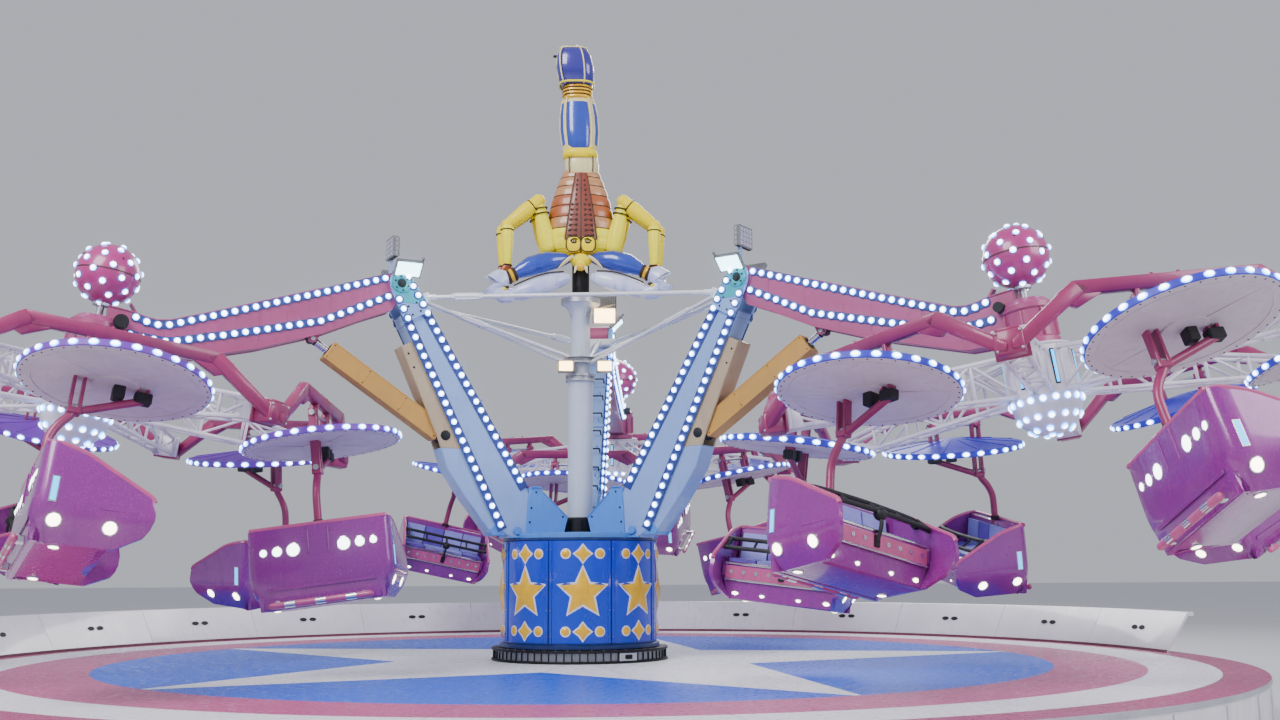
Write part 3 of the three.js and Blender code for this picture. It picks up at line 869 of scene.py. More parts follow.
@dataclass(frozen=True)
class DeckPaint:
    """Tread plate painted with a star on a disc, inside two rings."""

    name: str = "deck star paint"
    disc: str = "0b5be6"
    star: str = "f8f8fc"
    inner_ring: str = "c04f86"
    outer_ring: str = "eeecf4"
    edge: str = "a83f70"
    first_ray: float = 79.35
    radii: tuple[float, float, float] = (5.5, 6.45, 7.15)

    def build(self) -> bpy.types.Material:
        """Builds the material's nodes.

        Returns:
            The material.
        """
        material = bpy.data.materials.new(self.name)
        material.use_nodes = True
        tree = material.node_tree
        n = Nodes(tree)
        shader = tree.nodes["Principled BSDF"]
        star = n.add("ShaderNodeGroup", node_tree=star_field())
        star.inputs["Start"].default_value = math.radians(self.first_ray)
        radius = star.outputs["Radius"]
        colour = n.blend(star.outputs["Mask"], linear(self.disc), linear(self.star))
        for limit, code in zip(self.radii, (self.inner_ring, self.outer_ring, self.edge)):
            colour = n.blend(n.spread(radius, limit, limit + 0.01, 0.0, 1.0), colour, linear(code))
        at = n.add("ShaderNodeTexCoord").outputs["Object"]
        axes = n.add("ShaderNodeSeparateXYZ", {0: at}).outputs
        angle = n.maths("ARCTAN2", axes[1], axes[0])
        around = n.maths(
            "MULTIPLY", n.maths("ABSOLUTE", n.maths("SINE", n.maths("MULTIPLY", angle, 9.0))), radius,
        )
        seam = n.spread(around, 0.03, 0.07, 1.0, 0.0)
        patch = n.add("ShaderNodeGroup", node_tree=mottling())
        patch.inputs["Scale"].default_value = 1.4
        scuff = n.add("ShaderNodeGroup", node_tree=mottling())
        scuff.inputs["Scale"].default_value = 11.0
        scuff.inputs["Spread"].default_value = 0.1
        dirt = n.maths(
            "ADD", n.maths("MULTIPLY", patch.outputs[0], 0.06), n.maths("MULTIPLY", scuff.outputs[0], 0.05),
        )
        colour = n.blend(
            n.maths("MAXIMUM", dirt, n.maths("MULTIPLY", seam, 0.55)), colour, linear("38343c"),
        )
        tread = n.add("ShaderNodeGroup", node_tree=tread_relief())
        bump = n.add("ShaderNodeBump", {"Height": tread.outputs[0], "Strength": 0.35, "Distance": 0.003})
        rough = n.spread(scuff.outputs[0], 0.0, 1.0, 0.26, 0.45)
        tree.links.new(colour, shader.inputs["Base Color"])
        tree.links.new(rough, shader.inputs["Roughness"])
        tree.links.new(bump.outputs[0], shader.inputs["Normal"])
        shader.inputs["Specular IOR Level"].default_value = 0.12
        return material


class Finish(Enum):
    """Every finish of the ride."""

    WHITE_SKIRT = Paint("white skirt paint", "dcd9e2", "a9a3ad", 0.3, coat=0.3)
    RIM_PANEL = Paint("rim panel paint", "e9e6ee", "b9b2c0", 0.28, coat=0.4, patches=1.2)
    KICK_STRIP_RUBBER = Paint("kick strip rubber", "7a4a5a", "4a3038", 0.6)
    DARK_STEEL = Paint("dark steel", "1c1d22", "3a3838", 0.45, 0.6)
    BLACK_RUBBER = Paint("black rubber", "121216", "2b2a2e", 0.55)
    RING_STEEL = Paint("ring steel", "8c8f98", "5a5b62", 0.35, 0.8)
    DRUM_CLADDING = Paint(
        "drum cladding paint", "0c3fd2", "0a2c92", 0.2, 0.05, coat=0.6, patches=1.5, wear=0.3,
    )
    DRUM_BASE = Paint("drum base paint", "16306e", "0d1c44", 0.36, 0.1, coat=0.3)
    GOLD_LEAF = Paint("gold leaf paint", "ffc80a", "cf8c12", 0.3, 0.15, coat=0.5, patches=9.0)
    ORNAMENT_EDGE = Paint("ornament edge paint", "f2f0f4", "c9c4cc", 0.35)
    MAST = Paint("mast paint", "8fb0e6", "6f8cc0", 0.34, 0.1, coat=0.3, patches=1.6)
    GUSSET = Paint("gusset paint", "4f93e6", "3f74c0", 0.34, 0.1, coat=0.3, patches=2.0)
    # Painted light: the strut is light grey, and this tan stands for the yellow light that falls on it.
    STRUT = Paint("strut grey with painted yellow light", "b9a585", "93806a", 0.42, patches=1.8)
    LAMP_CHANNEL = Paint("lamp channel paint", "24398e", "16204a", 0.4, 0.2)
    PIN_BOSS = Paint("pin boss paint", "2fb4c4", "1c7a90", 0.32, 0.3, coat=0.3)
    COLUMN = Paint("column paint", "cfd8e6", "98a4b8", 0.32, coat=0.3, patches=1.6)
    TIE_ROD_ZINC = Paint("tie rod zinc", "c3c6cc", "85878e", 0.34, 0.75)
    TIE_ROD = Paint("tie rod paint", "eceef2", "b9bcc4", 0.34, 0.2, coat=0.3)
    BALL_SOCKET = Paint("ball socket paint", "8c2a66", "6a1c4c", 0.35, coat=0.3)
    FLOODLIGHT_GLASS = Paint("floodlight glass", "b9b6cc", "8f8da6", 0.12, coat=0.8)
    BOOM = Paint("boom paint", "b04a7c", "86365f", 0.36, 0.05, coat=0.3, patches=1.4, wear=0.45)
    BEAM = Paint("beam paint", "a02e66", "74244c", 0.36, 0.05, coat=0.3, patches=2.0, wear=0.4)
    AMBER_COVER = Paint("amber cover paint", "cf9a3e", "a9854c", 0.42, patches=1.6, wear=0.6)
    CHROMED_STEEL = Paint("chromed steel", "d8dade", "a9abb2", 0.12, 1.0, wear=0.2)
    BALL_SHELL = Paint("ball shell paint", "b6267c", "7e1858", 0.28, coat=0.6, patches=5.0)
    SPIDER = Paint("spider paint", "e3dde6", "aea2b4", 0.36, coat=0.2, patches=2.4)
    CANOPY_TOP_BLUE = Paint("canopy top blue", "2b22c8", "1d178c", 0.5, coat=0.05, patches=2.0, wear=0.3)
    CANOPY_TOP_PURPLE = Paint(
        "canopy top purple", "7426b6", "4f1a88", 0.5, coat=0.05, patches=2.0, wear=0.3,
    )
    CANOPY_LINING = Paint("canopy lining", "ded3dc", "b3a2ae", 0.5, patches=2.6)
    GELCOAT = Paint("gelcoat", "90228e", "621a78", 0.22, 0.1, coat=0.8, patches=1.6, flakes="bc46b0")
    PINK_TRIM = Paint("pink trim", "c8558c", "8a3562", 0.34, coat=0.4)
    LILAC_VINYL = Paint("lilac vinyl", "9a9cea", "7472c4", 0.44, grain=240.0, relief=0.3, patches=6.0)
    VIOLET_VINYL = Paint("violet vinyl", "7058c8", "503a94", 0.44, grain=240.0, relief=0.3, patches=6.0)
    FLOODLIGHT_CASTING = Paint("floodlight casting", "8b8c90", "5d5e62", 0.4, 0.7)
    WHITE_LAMP = Glow("white lamp", "f4fdff", "2f96ff", 8.0)
    BLUE_LAMP = Glow("blue lamp", "dffcff", "20b8ff", 2.2)
    WARM_LAMP = Glow("warm lamp", "fff6dc", "ffd890", 8.0)
    FLOOD_PANEL = Glow("flood panel", "f4ffff", "bff6ff", 6.0)
    TAN_SHELL = Paint("tan shell paint", "cc9260", "95603a", 0.3, coat=0.6, patches=5.0, wear=0.5)
    RED_BROWN = Paint("red brown paint", "8c4030", "5a241c", 0.34, coat=0.4, patches=8.0, wear=0.5)
    YELLOW_SHELL = Paint(
        "yellow shell paint", "ffea00", "f4c600", 0.3, coat=0.15, patches=5.0, wear=0.45, shine=0.2,
    )
    CREAM_SHELL = Paint("cream shell paint", "f2e6ac", "cdb076", 0.3, coat=0.5, patches=5.0, wear=0.45)
    BLUE_SHELL = Paint("blue shell paint", "3450c0", "1c2c86", 0.14, 0.1, coat=0.9, patches=4.0, wear=0.5)
    VIOLET_SHELL = Paint(
        "violet shell paint", "3b35a0", "221f66", 0.14, 0.1, coat=1.0, patches=4.0, wear=0.5,
    )
    # On the abdomen's low bands this pale yellow is a painted highlight of the lit belly; it is also used
    # on the legs, the tail's crest and the edge of its tip.
    PALE_YELLOW = Paint(
        "pale yellow paint and painted highlight", "fff630", "fce010", 0.3, coat=0.15, patches=5.0, wear=0.45, shine=0.2,
    )
    # On the abdomen's middle bands this orange is painted shade; it is also used for the toes.
    ORANGE_SHELL = Paint("orange shell paint and painted shade", "b8602e", "84402a", 0.3, coat=0.5, patches=6.0, wear=0.5)
    ICE_SHELL = Paint("ice shell paint", "dfe5fb", "6f80dc", 0.26, coat=0.6, patches=3.5, wear=0.6)
    INK_LINE = Paint("ink line paint", "3a2416", "1c120c", 0.5)
    DECK_STAR = DeckPaint()


class Finishes:
    """The materials of all finishes, made once."""

    def __init__(self) -> None:
        """Builds them."""
        self.table = {finish: finish.value.build() for finish in Finish}

    def __getitem__(self, finish: Finish) -> bpy.types.Material:
        """The material of that finish."""
        return self.table[finish]


class Repeater:
    """Geometry node trees that repeat a small part along a path, on points or round an axis."""

    def __init__(self) -> None:
        """Builds the three trees."""
        self.path = self.caps_tree("Caps along a path", True)
        self.spots = self.caps_tree("Caps on points", False)
        self.round = self.round_tree()

    @staticmethod
    def inputs_of(tree: bpy.types.NodeTree, sockets: dict[str, tuple[str, object]]) -> None:
        """Gives a tree its named inputs and its output.

        Args:
            tree: The tree.
            sockets: Each input's name, socket type and first value.
        """
        tree.interface.new_socket("Geometry", in_out="INPUT", socket_type="NodeSocketGeometry")
        for name, (kind, value) in sockets.items():
            socket = tree.interface.new_socket(name, in_out="INPUT", socket_type=kind)
            if value is not None:
                socket.default_value = value
        tree.interface.new_socket("Geometry", in_out="OUTPUT", socket_type="NodeSocketGeometry")

    @staticmethod
    def close(n: Nodes, instances: bpy.types.NodeSocket, finish: bpy.types.NodeSocket) -> None:
        """Ends a tree: the instances are made real and take their finish.

        Args:
            n: Adds the nodes.
            instances: The instances.
            finish: Their finish.
        """
        real = n.add("GeometryNodeRealizeInstances", {"Geometry": instances})
        dressed = n.add("GeometryNodeSetMaterial", {"Geometry": real.outputs[0], "Material": finish})
        end = n.add("NodeGroupOutput")
        n.tree.links.new(dressed.outputs[0], end.inputs[0])

    def caps_tree(self, name: str, along: bool) -> bpy.types.NodeTree:
        """A tree that sets round caps on a path or on points, facing along the attribute aim.

        Args:
            name: The tree's name.
            along: Whether the points are spaced evenly along the mesh's edges first.

        Returns:
            The tree.
        """
        tree = bpy.data.node_groups.new(name, "GeometryNodeTree")
        sockets = {
            "Spacing": ("NodeSocketFloat", 0.125), "Radius": ("NodeSocketFloat", 0.03),
            "Height": ("NodeSocketFloat", 0.025), "Sides": ("NodeSocketInt", 8),
            "Rings": ("NodeSocketInt", 6), "Finish": ("NodeSocketMaterial", None),
        }
        self.inputs_of(tree, sockets)
        n = Nodes(tree)
        given = n.add("NodeGroupInput").outputs
        points = given["Geometry"]
        if along:
            curve = n.add("GeometryNodeMeshToCurve", {"Mesh": points})
            keys = {"Curve": curve.outputs[0], "Length": given["Spacing"]}
            points = n.add("GeometryNodeResampleCurve", keys, mode="LENGTH").outputs[0]
        keys = {"Segments": given["Sides"], "Rings": given["Rings"], "Radius": 1.0}
        cap = n.add("GeometryNodeMeshUVSphere", keys).outputs[0]
        height = n.add(
            "ShaderNodeSeparateXYZ", {0: n.add("GeometryNodeInputPosition").outputs[0]},
        ).outputs[2]
        core = n.add(
            "GeometryNodeStoreNamedAttribute", {"Geometry": cap, "Name": "core"}, data_type="FLOAT",
        )
        tree.links.new(height, next(s for s in core.inputs if s.name == "Value" and s.enabled))
        size = n.add("ShaderNodeCombineXYZ", {0: given["Radius"], 1: given["Radius"], 2: given["Height"]})
        cap = n.add(
            "GeometryNodeTransform", {"Geometry": core.outputs[0], "Scale": size.outputs[0]},
        ).outputs[0]
        aim = n.add("GeometryNodeInputNamedAttribute", {"Name": "aim"}, data_type="FLOAT_VECTOR")
        way = n.add("FunctionNodeAlignRotationToVector", {"Vector": aim.outputs[0]}, axis="Z")
        keys = {"Points": points, "Instance": cap, "Rotation": way.outputs[0]}
        placed = n.add("GeometryNodeInstanceOnPoints", keys)
        self.close(n, placed.outputs[0], given["Finish"])
        return tree

    def round_tree(self) -> bpy.types.NodeTree:
        """A tree that repeats the object's own mesh round the Z axis.

        Returns:
            The tree.
        """
        tree = bpy.data.node_groups.new("Part round an axis", "GeometryNodeTree")
        sockets = {
            "Count": ("NodeSocketInt", 6), "Start": ("NodeSocketFloat", 0.0),
            "Step": ("NodeSocketFloat", math.pi / 3), "Finish": ("NodeSocketMaterial", None),
        }
        self.inputs_of(tree, sockets)
        n = Nodes(tree)
        given = n.add("NodeGroupInput").outputs
        points = n.add("GeometryNodePoints", {"Count": given["Count"]})
        index = n.add("GeometryNodeInputIndex").outputs[0]
        angle = n.maths("ADD", n.maths("MULTIPLY", index, given["Step"]), given["Start"])
        way = n.add(
            "FunctionNodeEulerToRotation", {0: n.add("ShaderNodeCombineXYZ", {2: angle}).outputs[0]},
        )
        keys = {"Points": points.outputs[0], "Instance": given["Geometry"], "Rotation": way.outputs[0]}
        placed = n.add("GeometryNodeInstanceOnPoints", keys)
        self.close(n, placed.outputs[0], given["Finish"])
        return tree

    def grow(self, tree: bpy.types.NodeTree, source: bpy.types.Mesh, **values: object) -> bpy.types.Mesh:
        """Runs a tree on a mesh and keeps the result as a plain mesh.

        Args:
            tree: The tree.
            source: The mesh that it starts from.
            values: Its inputs, by name.

        Returns:
            The mesh.
        """
        carrier = bpy.data.objects.new("growing", source)
        bpy.context.scene.collection.objects.link(carrier)
        modifier = carrier.modifiers.new("grow", "NODES")
        modifier.node_group = tree
        named = {i.name: i.identifier for i in tree.interface.items_tree if i.in_out == "INPUT"}
        for name, value in values.items():
            modifier[named[name]] = value
        graph = bpy.context.evaluated_depsgraph_get()
        made = bpy.data.meshes.new_from_object(carrier.evaluated_get(graph))
        carrier.modifiers.remove(modifier)
        bpy.data.objects.remove(carrier)
        made.shade_smooth()
        made.set_sharp_from_angle(angle=math.radians(50))
        return made

    @staticmethod
    def aimed(
        points: Sequence[Point], aims: Sequence[Point], edges: Sequence[tuple[int, int]] = (),
    ) -> bpy.types.Mesh:
        """Points with the way that each cap faces, joined by edges if they are a path.

        Args:
            points: The points.
            aims: The way that each cap faces.
            edges: The pairs of points that a path joins.

        Returns:
            The mesh.
        """
        made = bpy.data.meshes.new("aimed")
        made.from_pydata([tuple(p) for p in points], list(edges), [])
        attribute = made.attributes.new("aim", "FLOAT_VECTOR", "POINT")
        attribute.data.foreach_set("vector", [c for a in aims for c in a])
        return made

    def row(self, paths: Sequence[tuple[Sequence[Point], Point]], **values: object) -> bpy.types.Mesh:
        """Caps along open paths.

        Args:
            paths: Each path's points and the way its caps face.
            values: The tree's inputs.

        Returns:
            The mesh.
        """
        points, aims, edges = [], [], []
        for path, aim in paths:
            base = len(points)
            points += [tuple(p) for p in path]
            aims += [tuple(aim)] * len(path)
            edges += [(base + i, base + i + 1) for i in range(len(path) - 1)]
        return self.grow(self.path, self.aimed(points, aims, edges), **values)

    def lamp_row(
        self, paths: Sequence[tuple[Sequence[Point], Point]], cup: float, paints: Finishes,
    ) -> tuple[bpy.types.Mesh, bpy.types.Mesh]:
        """Lamp caps along open paths, and the dark cups that they sit in.

        Args:
            paths: Each path's points and the way its caps face.
            cup: The radius of the cups.
            paints: Every material.

        Returns:
            The caps and the cups.
        """
        caps = self.row(paths, Finish=paints[Finish.WHITE_LAMP], **LAMP)
        flat = {**LAMP, "Radius": cup, "Height": 0.009, "Sides": 12, "Rings": 4}
        return caps, self.row(paths, Finish=paints[Finish.LAMP_CHANNEL], **flat)

    def scatter(self, points: Sequence[Point], aims: Sequence[Point], **values: object) -> bpy.types.Mesh:
        """Caps on single points."""
        return self.grow(self.spots, self.aimed(points, aims), **values)

    def circle(self, radius: float, z: float, count: int, rise: float, **values: object) -> bpy.types.Mesh:
        """Caps round a circle that face outwards, or up and down by rise.

        Args:
            radius: The circle's radius.
            z: Its height.
            count: The number of caps.
            rise: How far up each faces, from 1 for straight up to -1 for straight down.
            values: The tree's inputs.

        Returns:
            The mesh.
        """
        angles = [2 * math.pi * i / count for i in range(count)]
        points = [(radius * math.cos(a), radius * math.sin(a), z) for a in angles]
        flat = 0.0 if abs(rise) >= 1 else 1.0
        aims = [(flat * math.cos(a), flat * math.sin(a), rise) for a in angles]
        return self.scatter(points, aims, **values)

    def around(
        self, item: Shape, count: int, finish: bpy.types.Material, start: float = 0.0,
        step: float | None = None,
    ) -> bpy.types.Mesh:
        """A shape repeated round Z.

        Args:
            item: The shape.
            count: How many there are.
            finish: Their finish.
            start: The first one's turn, in degrees.
            step: The turn from one to the next, or None to share out the circle.

        Returns:
            The mesh.
        """
        spread = 360.0 / count if step is None else step
        values = {
            "Count": count, "Start": math.radians(start), "Step": math.radians(spread), "Finish": finish,
        }
        return self.grow(self.round, item.mesh("item"), **values)


@dataclass
class Deck:
    """The round platform with its slewing ring."""

    paints: Finishes
    repeat: Repeater
    radius: float = 7.6
    skirt: float = 0.11
    plate: float = 0.09
    ring_radius: float = 1.07
    ring_height: float = 0.15

    def build(self) -> None:
        """Makes the deck, its beams, the skirt's ribs and the slewing ring."""
        top = DECK_HEIGHT
        star, steel = Finish.DECK_STAR, Finish.DARK_STEEL
        skirt, zinc = Finish.WHITE_SKIRT, Finish.TIE_ROD_ZINC
        deck = Shape(star)
        profile = [
            (0, 0), (1.15, 0), (1.15, top - self.plate), (self.radius - self.skirt, top - self.plate),
            (self.radius - self.skirt, 0), (self.radius - 0.02, 0), (self.radius - 0.02, top - 0.05),
            (self.radius, top - 0.045), (self.radius, top - 0.006), (self.radius - 0.006, top), (0, top),
        ]
        deck.lathe(profile, 120, bands=[steel] * 5 + [skirt] + [zinc] * 3 + [star] * 2)
        for i in range(6):
            place = turn(i * 60 + 30)
            deck.block(
                (self.radius - 1.2, 0.14, 0.22), ((self.radius + 1.0) / 2, 0, 0.25), Finish.DARK_STEEL,
                place=place,
            )
            deck.block((0.26, 0.26, 0.2), (4.2, 0, 0.1), Finish.DARK_STEEL, place=place)
        put(deck.mesh("deck", self.paints), "deck_plate", "base", replaces=["platform"])
        rib = Shape()
        rib.block((0.03, 0.05, top - 0.08), (self.radius - 0.02, 0, (top - 0.06) / 2), bevel=0.008)
        put(self.repeat.around(rib, 48, self.paints[skirt]), "skirt_ribs", "base")
        self.slewing_ring()

    def slewing_ring(self) -> None:
        """Makes the fixed ring that the drum turns on, with its guard bars."""
        z, r = DECK_HEIGHT, self.ring_radius
        steel, bright = Finish.DARK_STEEL, Finish.RING_STEEL
        ring = Shape(steel)
        profile = [
            (0, z), (r, z), (r, z + 0.022), (r - 0.03, z + 0.03), (r - 0.03, z + 0.118), (r, z + 0.124),
            (r, z + self.ring_height - 0.004), (r - 0.004, z + self.ring_height), (0, z + self.ring_height),
        ]
        ring.lathe(profile, 96, bands=[steel] * 3 + [bright] + [steel] * 5)
        put(ring.mesh("ring", self.paints), "slewing_ring", "base")
        bar = Shape()
        bar.block((0.016, 0.012, 0.085), (r - 0.025, 0, z + 0.074), bevel=0.003)
        put(self.repeat.around(bar, 72, self.paints[steel]), "ring_guard_bars", "base")
        box = Shape(Finish.TIE_ROD_ZINC)
        box.block((0.1, 0.24, 0.1), (r - 0.055, 0, z + 0.072), bevel=0.008)
        box.block((0.03, 0.1, 0.05), (r - 0.012, 0, z + 0.072), Finish.DARK_STEEL, 0.006)
        put(box.mesh("drive box", self.paints), "ring_drive_box", "base", turn(-58))
        bolts = self.repeat.circle(
            r - 0.014, z + self.ring_height, 48, 1, Radius=0.009, Height=0.007, Sides=6,
            Finish=self.paints[bright],
        )
        put(bolts, "ring_bolts", "base")


@dataclass
class Rim:
    """The raised rim round the back half, in curved panels with hand slots."""

    paints: Finishes
    repeat: Repeater
    radius: float = 7.4
    height: float = 0.5
    half_arc: float = 88.0
    panels: int = 12
    seam: float = 0.03

    def build(self) -> None:
        """Makes the panels, their edge strip, the ribs behind and the slots."""
        z, r, h = DECK_HEIGHT + 0.0003, self.radius, self.height
        step = 2 * self.half_arc / self.panels
        start = 90 - self.half_arc
        panel = Shape()
        section = [
            (r, z), (r + 0.02, z), (r + 0.318, z + h - 0.05), (r + 0.385, z + h - 0.05),
            (r + 0.39, z + h - 0.04), (r + 0.39, z + h - 0.006), (r + 0.384, z + h), (r + 0.318, z + h),
            (r + 0.305, z + h - 0.008),
        ]
        panel.lathe(section, 6, start=self.seam, sweep=step - 2 * self.seam)
        mesh = self.repeat.around(panel, self.panels, self.paints[Finish.RIM_PANEL], start, step)
        put(mesh, "rim_panels", "base", replaces=["platform_rim"])
        strip = Shape()
        strip.lathe([(r - 0.035, z), (r, z), (r + 0.012, z + 0.03), (r - 0.03, z + 0.03)], 6, sweep=step)
        mesh = self.repeat.around(strip, self.panels, self.paints[Finish.KICK_STRIP_RUBBER], start, step)
        put(mesh, "rim_foot_strip", "base")
        rib = Shape()
        outline = [(r + 0.03, z), (r + 0.18, z), (r + 0.36, z + h - 0.05), (r + 0.318, z + h - 0.05)]
        rib.slab(outline, -0.015, 0.015)
        count = 2 * self.panels
        mesh = self.repeat.around(rib, count, self.paints[Finish.TIE_ROD_ZINC], start + step / 4, step / 2)
        put(mesh, "rim_ribs", "base")
        self.slots(start, step)

    def slots(self, start: float, step: float) -> None:
        """Makes each panel's pair of oval hand slots, edged with a lip.

        Args:
            start: The first panel's angle, in degrees.
            step: The turn from one panel to the next, in degrees.
        """
        lean = math.degrees(math.atan2(0.305, self.height - 0.008))
        middle = (self.radius + 0.168, 0, DECK_HEIGHT + 0.272)
        well, lip = Shape(), Shape()
        for side in (-0.085, 0.085):
            place = move(*middle) @ turn(lean, "Y") @ move(-0.004, side, 0) @ turn(90, "Y")
            oval = place @ Matrix.Diagonal((0.6, 1.15, 1, 1))
            well.lathe([(0, -0.004), (0.045, -0.004), (0.045, 0.003), (0, 0.003)], 16, place=oval)
            lip.lathe([(0.044, -0.006), (0.054, -0.006), (0.052, 0.006), (0.046, 0.006)], 16, place=oval)
            for bar in (-0.018, 0.018):
                lip.block((0.05, 0.006, 0.006), (0, bar, -0.004), bevel=0.001, place=place)
        at = start + step / 2
        for shape, paint, name in (
            (well, Finish.BLACK_RUBBER, "rim_slots"), (lip, Finish.DARK_STEEL, "rim_slot_lips"),
        ):
            put(self.repeat.around(shape, self.panels, self.paints[paint], at, step), name, "base")


@dataclass
class Drum:
    """The clad drum with gold ornament on its panels."""

    paints: Finishes
    repeat: Repeater
    radius: float = 0.94
    foot: float = 0.158
    top: float = 1.44
    panels: int = 8

    def build(self) -> None:
        """Makes the core, the panels, the edge bands and the ornament."""
        z = DECK_HEIGHT
        core = Shape(Finish.DRUM_BASE)
        r, foot, top = self.radius, z + self.foot, z + self.top
        barrel = [
            (0, z + 0.151), (0.3, z + 0.151), (0.3, z + 0.3), (r - 0.03, z + 0.3), (r - 0.03, foot),
            (r - 0.008, foot), (r - 0.008, top - 0.02), (r - 0.02, top), (0, top),
        ]
        foot_band = [(r - 0.01, foot), (r + 0.03, foot), (r + 0.03, z + 0.2), (r - 0.01, z + 0.215)]
        top_band = raised([(r - 0.01, 1.405), (r + 0.006, 1.41), (r + 0.006, 1.436), (r - 0.01, 1.44)], z)
        for profile in (barrel, foot_band, top_band):
            core.lathe(profile, 96)
        put(core.mesh("core", self.paints), "drum_core", "rotor", replaces=["drum"])
        step = 360 / self.panels
        panel = Shape()
        sheet = raised([(r - 0.01, 0.222), (r, 0.226), (r, 1.4), (r - 0.01, 1.404)], z)
        panel.lathe(sheet, 12, start=-step / 2 + 0.5, sweep=step - 1)
        for edge in (-step / 2 + 1.4, step / 2 - 1.4):
            fold = [(r - 0.006, 0.23), (r + 0.012, 0.23), (r + 0.012, 1.396), (r - 0.006, 1.396)]
            panel.lathe(raised(fold, z), 1, start=edge - 0.8, sweep=1.6)
        mesh = self.repeat.around(panel, self.panels, self.paints[Finish.DRUM_CLADDING], 0, step)
        put(mesh, "drum_panels", "rotor")
        self.ornament(step)
        heads = []
        for i in range(self.panels):
            for high in (0.3, 0.6, 0.95, 1.3):
                for edge in (-1.4, 1.4):
                    a = math.radians(i * step + step / 2 + edge)
                    heads.append((Vector((math.cos(a), math.sin(a), 0)), high))
        points = [(*(way.xy * (r + 0.012)), z + high) for way, high in heads]
        bolts = self.repeat.scatter(
            points, [way for way, _ in heads], Radius=0.008, Height=0.006, Sides=6,
            Finish=self.paints[Finish.RING_STEEL],
        )
        put(bolts, "drum_rivets", "rotor")

    def wrapped(self, u: float, v: float, out: float) -> Vector:
        """A point on the drum: u along its girth, v up, out from its skin."""
        a = u / self.radius
        return Vector(((self.radius + out) * math.cos(a), (self.radius + out) * math.sin(a), v))

    def star(
        self, shape: Shape, points: int, outer: float, inner: float, v: float, lift: float, crown: float,
        u: float = 0.0,
    ) -> None:
        """A star that follows the drum's skin.

        Args:
            shape: Takes it.
            points: Its number of points.
            outer: The radius of its points.
            inner: The radius between them.
            v: Its middle's height.
            lift: How far its edge stands off the drum.
            crown: How far its middle stands off.
            u: Its middle along the girth.
        """
        part = bmesh.new()
        rows = []
        for out in (0.001, lift):
            row = []
            for k in range(2 * points):
                a = math.radians(90 + 180 * k / points)
                reach = outer if k % 2 == 0 else inner
                row.append(
                    part.verts.new(self.wrapped(u + reach * math.cos(a), v + reach * math.sin(a), out))
                )
            rows.append(row)
        front = part.verts.new(self.wrapped(u, v, crown))
        back = part.verts.new(self.wrapped(u, v, 0.0005))
        for k in range(2 * points):
            j = (k + 1) % (2 * points)
            part.faces.new((rows[1][k], rows[1][j], front))
            part.faces.new((rows[0][j], rows[0][k], back))
            part.faces.new((rows[0][k], rows[0][j], rows[1][j], rows[1][k]))
        bmesh.ops.recalc_face_normals(part, faces=part.faces[:])
        shape.take(part, None, None)

    def ornament(self, step: float) -> None:
        """Makes gold stars with white edges, and small diamonds above and below.

        Args:
            step: The turn from one panel to the next, in degrees.
        """
        z = DECK_HEIGHT
        backing, gold = Shape(), Shape()
        self.star(backing, 5, 0.325, 0.155, z + 0.8, 0.006, 0.006)
        self.star(gold, 5, 0.28, 0.125, z + 0.8, 0.012, 0.05)
        for high in (0.36, 1.25):
            self.star(backing, 4, 0.12, 0.075, z + high, 0.006, 0.006)
            self.star(gold, 4, 0.095, 0.055, z + high, 0.012, 0.03)
            for u in (-0.2, 0.2):
                self.star(backing, 12, 0.062, 0.06, z + high, 0.006, 0.006, u)
                self.star(gold, 12, 0.046, 0.044, z + high, 0.01, 0.03, u)
        for shape, paint, name in (
            (backing, Finish.ORNAMENT_EDGE, "drum_ornament_edges"),
            (gold, Finish.GOLD_LEAF, "drum_ornament"),
        ):
            mesh = self.repeat.around(shape, self.panels, self.paints[paint], 2, step)
            put(mesh, name, "rotor")


MAST_FOOT = Vector((0.77, 0, 1.48))
MAST_HEAD = Vector((2.39, 0, 4.395))
MAST_TOP = 3.0
MAST_LENGTH = (MAST_HEAD - MAST_FOOT).length
MAST_WAY = (MAST_HEAD - MAST_FOOT).normalized()
RAM_FOOT = Vector((1.8, 0, 2.635))
RAM_HEAD = Vector((3.37, 0, 3.69))
RAM_WAY = (RAM_HEAD - RAM_FOOT).normalized()


def on_mast(along: float, out: float, y: float = 0.0) -> Vector:
    """A point by its distance along the mast and its offset outwards."""
    return MAST_FOOT + MAST_WAY * along + Vector((MAST_WAY.z, 0, -MAST_WAY.x)) * out + Vector((0, y, 0))


def on_mast_xz(along: float, out: float) -> tuple[float, float]:
    """The same point, seen from the side."""
    p = on_mast(along, out)
    return p.x, p.z


def half_depth(along: float) -> float:
    """Half the mast's depth, which shrinks from its foot to its head."""
    return 0.3 - 0.129 * along / MAST_TOP


